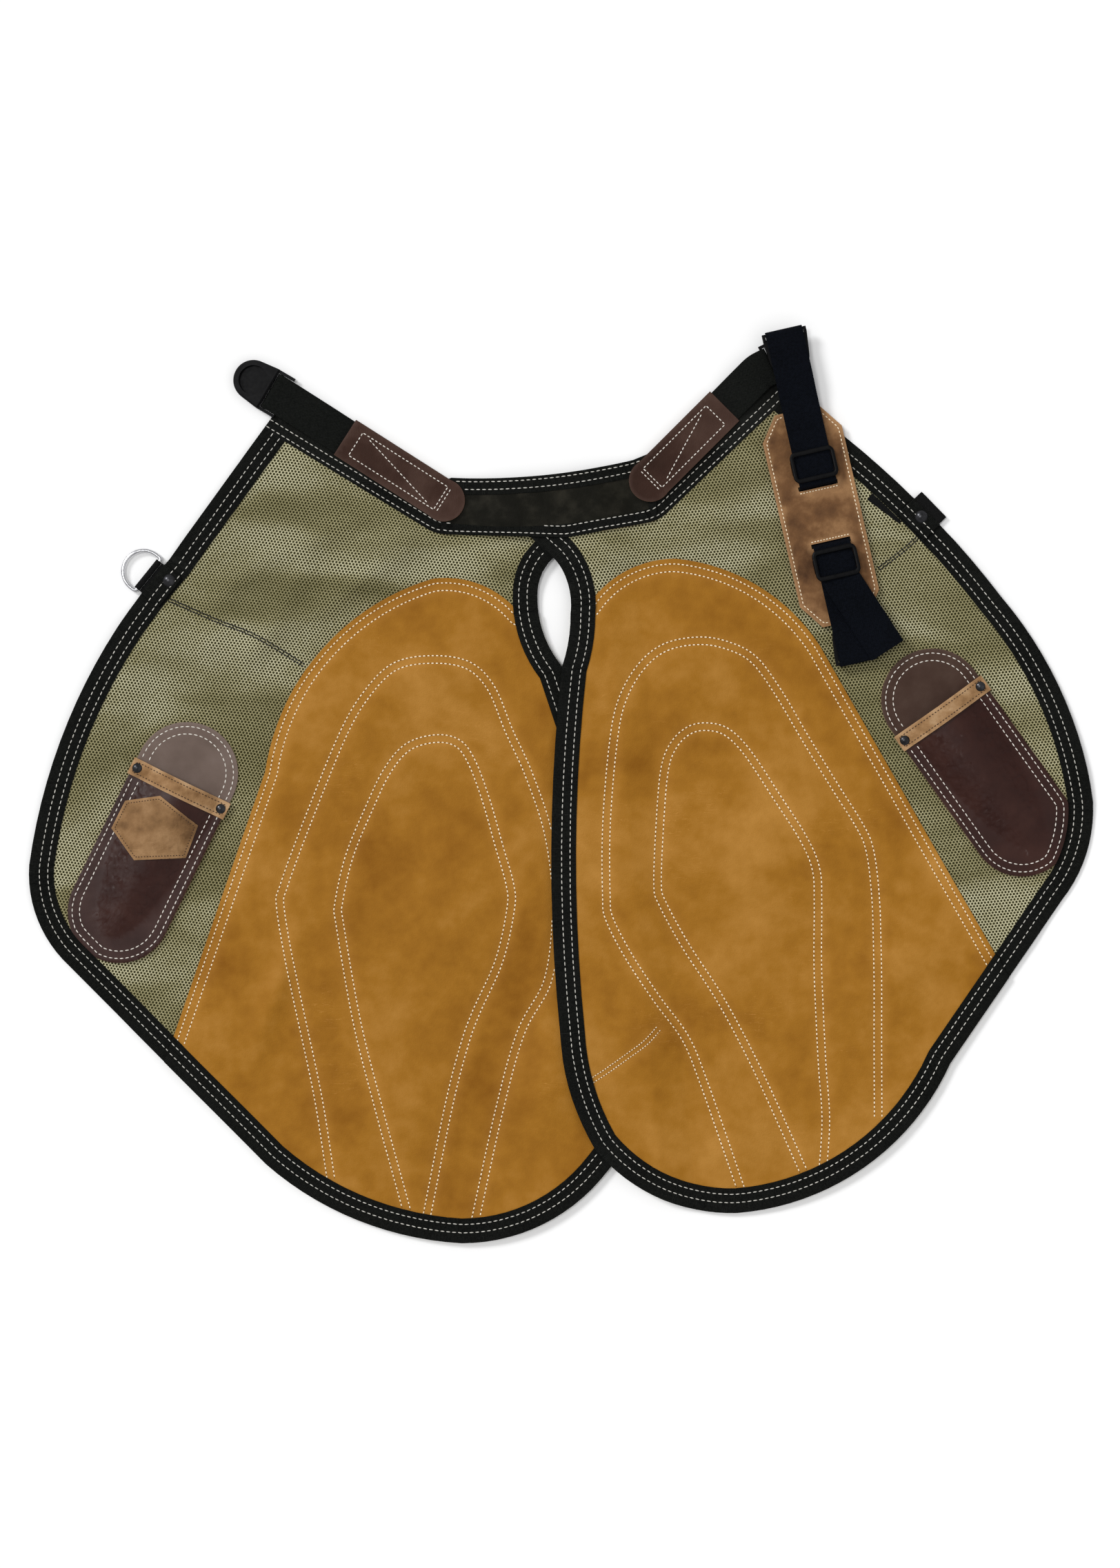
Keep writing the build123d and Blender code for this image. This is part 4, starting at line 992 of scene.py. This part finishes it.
def tri_glide(node, place_at, body):
    """A moulded slide: a round-edged frame on two cheeks, with the bar below."""
    bm = bmesh.new()
    bmesh.ops.create_grid(bm, x_segments=96, y_segments=14, size=0.5)
    route = slide_route()
    n = len(route)
    x0, y0, h = strap_line(place_at)
    for v in bm.verts:
        k = (v.co.x + 0.5) * n
        a, b = route[int(k) % n], route[(int(k) + 1) % n]
        p = a + (b - a) * (k - int(k))
        t = b - route[(int(k) - 1) % n]
        t /= np.linalg.norm(t)
        angle = (v.co.y + 0.5) * 2 * pi
        wide = rim_long if abs(t[1]) > 0.7 else rim_wide
        p = p + np.array([t[1], -t[0]]) * bulge(cos(angle)) * wide
        z = 16.45 + bulge(sin(angle)) * 1.22
        v.co = Vector((x0 + p[0] * cos(h) - p[1] * sin(h), y0 + p[0] * sin(h) + p[1] * cos(h), z)) * MM
    bmesh.ops.remove_doubles(bm, verts=bm.verts, dist=2e-5)
    base = Matrix.Translation(Vector((x0, y0, 0)) * MM) @ Matrix.Rotation(h, 4, "Z")
    blocks = [  # middle and size of the bar and the two cheeks, in mm
        ((0, 0, 9.4), (6, 45.8, 2.3)),
        ((0, 21.4, 12.2), (13.8, 3.0, 7.6)),
        ((0, -21.4, 12.2), (13.8, 3.0, 7.6)),
    ]
    for middle, (a, b, c) in blocks:
        spot = base @ Matrix.Translation(Vector(middle) * MM) @ Matrix.Diagonal((a * MM, b * MM, c * MM, 1))
        made = bmesh.ops.create_cube(bm, size=1, matrix=spot)
        edges = list({e for v in made["verts"] for e in v.link_edges})
        bmesh.ops.bevel(bm, geom=edges, offset=0.0005, segments=2, profile=0.5, affect="EDGES",
                        clamp_overlap=True, material=-1)
    bmesh.ops.recalc_face_normals(bm, faces=bm.faces)
    return place(bm, node + "_look", [buckle_black], body, [node])


slides = [  # node, distance along the strap in mm, body
    ("tri_glide_upper", 140.75, "upper_slide"),
    ("tri_glide_lower", 242.25, "lower_slide"),
]
for node, place_at, body in slides:
    slide = tri_glide(node, place_at, body)
    print(slide.name, len(slide.data.polygons), "faces")

# %% [markdown]
# ## What lies on top
# A stitch belongs only where its own layer can be seen. Seams run under straps and other pieces,
# so before a stitch is set, a ray from above asks which surface is highest there, and how it
# tilts. The webbing joins the surfaces that the rays can meet.

# %% What lies on top
def surface_of(piece):
    """A search tree over a piece's mesh."""
    bm = bmesh.new()
    bm.from_mesh(piece.data)
    tree = BVHTree.FromBMesh(bm)
    bm.free()
    return tree


for piece in (strap, tail):
    ground[piece.name] = surface_of(piece)
for side in ("left", "right"):
    ground[f"belt_webbing_{side}"] = surface_of(bpy.data.objects[f"belt_webbing_{side}_look"])
down = Vector((0, 0, -1))


def on_top(x, y):
    """The highest layer at a place, with its height and normal there."""
    best = (None, -1.0, None)
    for name, tree in ground.items():
        hit = tree.ray_cast(Vector((x, y, 0.1)), down)
        if hit[0] is not None and hit[0].z > best[1]:
            best = (name, hit[0].z, hit[1])
    return best


print("on top at the middle of the left leather:", on_top(-0.15, -0.1)[0])

# %% [markdown]
# ## Thread
# Sewn thread stands out of leather as a row of short fat grains, with a small hole at each end.
# A dashed line in a material would look flat from the side. So each stitch is a small stretched
# ball, laid along its row and on the slope of the surface, and no two are quite alike.

# %% Thread
class Thread:
    """Gathers the stitches of one kind into one piece."""

    def __init__(self, name, mat, slot, body="apron"):
        self.name, self.mat, self.slot, self.body = name, mat, slot, body
        self.spots, self.taken = [], {}

    def cell(self, x, y):
        return int(x // 0.002), int(y // 0.002)

    def crowded(self, x, y, near):
        """Whether a stitch of this kind already lies nearer than that."""
        i, j = self.cell(x, y)
        around_it = [(i + a, j + b) for a in (-1, 0, 1) for b in (-1, 0, 1)]
        return any(hypot(x - q[0], y - q[1]) < near for c in around_it for q in self.taken.get(c, ()))

    def row(self, path, layers, pitch=4.4, length=2.8, width=1.5, rise=0.35, holes=None):
        """Sews along a path, in mm, wherever one of the given layers is on top."""
        layers = (layers,) if isinstance(layers, str) else layers
        p = np.asarray(path, float)
        gaps = np.where(np.linalg.norm(np.diff(p, axis=0), axis=1) > 4e-3)[0] + 1
        for part in np.split(p, gaps):
            if len(part) < 3:
                continue
            pts = even(part, pitch * MM)
            for a, b in zip(pts, pts[1:]):
                x, y = (a + b) / 2
                if self.crowded(x, y, pitch * 0.5 * MM):
                    continue
                name, z, n = on_top(x, y)
                if name not in layers:
                    continue
                self.taken.setdefault(self.cell(x, y), []).append((x, y))
                t = Vector((b[0] - a[0], b[1] - a[1], 0)).normalized()
                n = n if n.z > 0 else -n
                t = (t - n * t.dot(n)).normalized()
                t = (t + n.cross(t) * rng.normal(0, 0.035)).normalized()
                turn = Matrix((t, n.cross(t), n)).transposed().to_4x4()
                half = length / 2 * MM * rng.uniform(0.93, 1.07)
                size = Matrix.Diagonal((half, width / 2 * MM, rise * 1.3 * MM, 1))
                spot = Vector((x, y, z)) + n * rise * 0.1 * MM
                self.spots.append(Matrix.Translation(spot) @ turn @ size)
                if holes is not None:
                    holes.paint_hole_shade(a, layers, turn)

    def paint_hole_shade(self, spot, layers, turn):
        """A flat dark disc of painted shade, where a stitch goes into its hole."""
        name, z, _ = on_top(spot[0], spot[1])
        if name in layers:
            flat = Matrix.Diagonal((0.62 * MM, 0.55 * MM, 0.12 * MM, 1))
            self.spots.append(Matrix.Translation(Vector((spot[0], spot[1], z))) @ turn @ flat)

    def done(self, rings=4):
        """Sets the stitches, a few dozen at a time, and gathers them."""
        bm = bmesh.new()
        for k in range(0, len(self.spots), 40):
            few = bmesh.new()
            for spot in self.spots[k : k + 40]:
                bmesh.ops.create_uvsphere(few, u_segments=6, v_segments=rings, radius=1, matrix=spot)
            batch = bpy.data.meshes.new("batch")
            few.to_mesh(batch)
            few.free()
            bm.from_mesh(batch)
            bpy.data.meshes.remove(batch)
        print(self.name, len(self.spots), "stitches")
        return place(bm, self.name, [self.mat], self.body)


print("pitch, length, width and rise of a default stitch, in mm:", Thread.row.__defaults__[:4])

# %% [markdown]
# ## Rows on the leathers
# Thick cream thread holds each leather: two rows inside its edge and two along each arch. The dart on the
# right leg is finer. The needle's holes show darkest here, so these rows get a flat dark disc at each hole:
# painted shade of the hole.

# %% Rows on the leathers
fine = {"pitch": 3.0, "length": 2.1, "width": 1.1}
for side in ("left", "right"):
    node = f"leather_panel_{side}"
    cream_rows = Thread(f"stitch_leather_{side}", cream, "leg_leather")
    # Flat dark discs at the needle holes: painted shade of the holes.
    hole_shade = Thread(f"hole_shade_leather_{side}", umber, "leg_leather")
    for inset_by in (0.0050, 0.0127):
        cream_rows.row(beside(hide_rings[side], inset_by, True), node, holes=hole_shade)
    for arch in arches[side][:2]:
        cream_rows.row(arch, node, holes=hole_shade)
        cream_rows.row(beside(arch, -twin_gap), node, holes=hole_shade)
    if side == "right":
        cream_rows.row(dart, node, **fine, holes=hole_shade)
        cream_rows.row(beside(dart, -0.005), node, **fine, holes=hole_shade)
    cream_rows.done()
    hole_shade.done(2)

# %% [markdown]
# ## Rows on the tape
# Binding is sewn with long chalky stitches in two rows. On the legs both rows follow the outline
# of the mesh beneath, so they run even with the tape's edge.

# %% Rows on the legs' tape
long_stitch = {"pitch": 5.9, "length": 4.6, "width": 1.15}
for side in ("left", "right"):
    tape_rows = Thread(f"stitch_binding_{side}", chalk, "binding_webbing")
    for inset_by in (0.0097, 0.0182):
        tape_rows.row(beside(outlines[side], inset_by, True), f"edge_binding_{side}", **long_stitch)
    tape_rows.done()

# %% [markdown]
# ## Rows on the waist's tape
# The waist's tape runs round the band, so its visible region has edges that are no real edges.
# An edge counts as real where nothing of the waist lies just beyond it. The top edge shows only
# between the two belt tabs.

# %% Rows on the waist's tape
top_from, top_to = -0.116, 0.096  # the stretch of the top edge between the tabs


def bare(x, y):
    """Whether nothing of the waist lies at a place."""
    spot = Vector((x, y, 0.1))
    return all(ground[n].ray_cast(spot, down)[0] is None for n in ("waist_binding", "waistband"))


waist_rows = Thread("stitch_waist", chalk, "binding_webbing")
for ring in waist_rings:
    ring = even(ring[:, :2], 1e-3, True)
    t = np.roll(ring, -2, axis=0) - np.roll(ring, 2, axis=0)
    t /= np.linalg.norm(t, axis=1)[:, None] + 1e-12
    outer = ring - np.column_stack([-t[:, 1], t[:, 0]]) * 1.5e-3
    real = np.array([bare(x, y) and (y < q[1] - 4e-4 or (top_from < x < top_to and y > q[1]))
                     for (x, y), q in zip(outer, ring)])
    if not real.any():
        continue
    first = int(np.argmin(real))
    ring, real = np.roll(ring, -first, axis=0), np.roll(real, -first)
    cuts = np.where(np.diff(real.astype(int)) != 0)[0] + 1
    for run, ok in zip(np.split(ring, cuts), np.split(real, cuts)):
        if ok[0] and len(run) > 25:
            for inset_by in (0.0035, 0.0113):
                waist_rows.row(beside(run, inset_by, len(cuts) == 0), "waist_binding", **long_stitch)
waist_rows.done()

# %% [markdown]
# ## Rows on pockets and keepers
# White thread runs round the pockets in two rows, and dark thread round keepers and patch. A
# pocket's rows cross from its back onto its front, so either may be on top there.

# %% Rows on pockets and keepers
pocket_rows = Thread("stitch_pockets", white_thread, "pocket_leather")
dark_rows = Thread("stitch_keepers", umber, "keeper_leather")
for side in ("left", "right"):
    ring = outline_of(f"pocket_back_{side}")
    either = (f"pocket_back_{side}", f"pocket_front_{side}")
    for inset_by in (0.0045, 0.0120):
        pocket_rows.row(beside(ring, inset_by, True), either, 5.6, 4.4, 1.2)
    keeper = f"pocket_keeper_{side}"
    dark_rows.row(beside(outline_of(keeper), 0.0035, True), keeper, 3.4, 2.4, 1.1, 0.3)
dark_rows.row(beside(outline_of("pocket_patch"), 0.003, True), "pocket_patch", 2.9, 1.7, 1.1, 0.3)
pocket_rows.done()
dark_rows.done()

# %% [markdown]
# ## Dart seams in the mesh
# At each hip a dart takes in the mesh. It shows as a narrow dark line, which two close rows of
# black stitches give.

# %% Dart seams in the mesh
darts = {
    "left": [(-400, 188), (-350, 166), (-310, 150), (-262, 121)],
    "right": [(366, 259), (345, 240), (320, 221)],
}
seam_rows = Thread("seams_mesh", pitch_black, "mesh_cloth")
for side, line in darts.items():
    for apart in (0.0, 0.0028):
        seam_rows.row(beside(flow(line), apart), f"mesh_panel_{side}", 3.0, 3.1, 1.7, 0.4)
seam_rows.done()

# %% [markdown]
# ## Rows on the belt tabs
# Each tab is sewn in a box with one diagonal and a double far end, the usual way to hold webbing.
# The tab's own axis is found from its outline, so the box turns with it.

# %% Rows on the belt tabs
box_start, box_half = 13, 13.5
tab_rows = Thread("stitch_tabs", white_thread, "tab_leather")
for side, long in (("left", 140), ("right", 128)):
    ring = outline_of(f"belt_tab_{side}")
    c = ring.mean(axis=0)
    # the tab's own axis, from its square end to its rounded end
    _, _, ways = np.linalg.svd(ring - c, full_matrices=False)
    ax = ways[0] if ways[0] @ np.array([0, -1]) > 0 else -ways[0]
    ay = np.array([-ax[1], ax[0]])
    along = (ring - c) @ ax
    back = c + ax * along.min()
    back = back + ay * ((ring[along < along.min() + 0.004] - back) @ ay).mean()
    at = lambda s, t: back + ax * s * MM + ay * t * MM
    a, b, w = box_start, long - 25, box_half
    box = [at(a, -w), at(b, -w), at(b, w), at(a, w), at(a, -w)]
    cross = w if side == "left" else -w
    lines = list(zip(box, box[1:])) + [(at(b + 3.6, -w), at(b + 3.6, w)), (at(a, cross), at(b, -cross))]
    for ends in lines:
        tab_rows.row(even(ends, 1e-3), f"belt_tab_{side}", 4.6, 3.5, 1.2)
tab_rows.done()

# %% [markdown]
# ## Rows on the back pad
# One row runs round the pad, and a short one crosses it beside each slot, where the webbing goes
# through. These stitches stay low, because the upper slide travels over them.

# %% Rows on the back pad
low, slot_gap, half_row = 0.18, 4.5, 0.02
pad_rows = Thread("stitch_pad", cream, "pad_leather", "strap")
pad_rows.row(beside(outline_of("back_pad_face"), 0.0038, True), "back_pad_face", 4.2, 3.0, 1.1, low)
for s in (slot_up + slot_gap, slot_down - slot_gap):
    x0, y0, h = strap_line(s)
    side_way = np.array([-sin(h), cos(h)])
    c = np.array([x0, y0]) * MM
    ends = [c - side_way * half_row, c + side_way * half_row]
    pad_rows.row(even(ends, 1e-3), "back_pad_face", 3.0, 2.2, 1.2, low)
pad_rows.done()

# %% [markdown]
# ## Flat sizes
# Each sheet's flat area and its size, as cut, are read back from the table. Then the scene is brought up to
# date.

# %% Sheets' flat sizes
for piece in sheets:
    area, (w, l) = flat_area[piece.name]

bpy.context.view_layer.update()
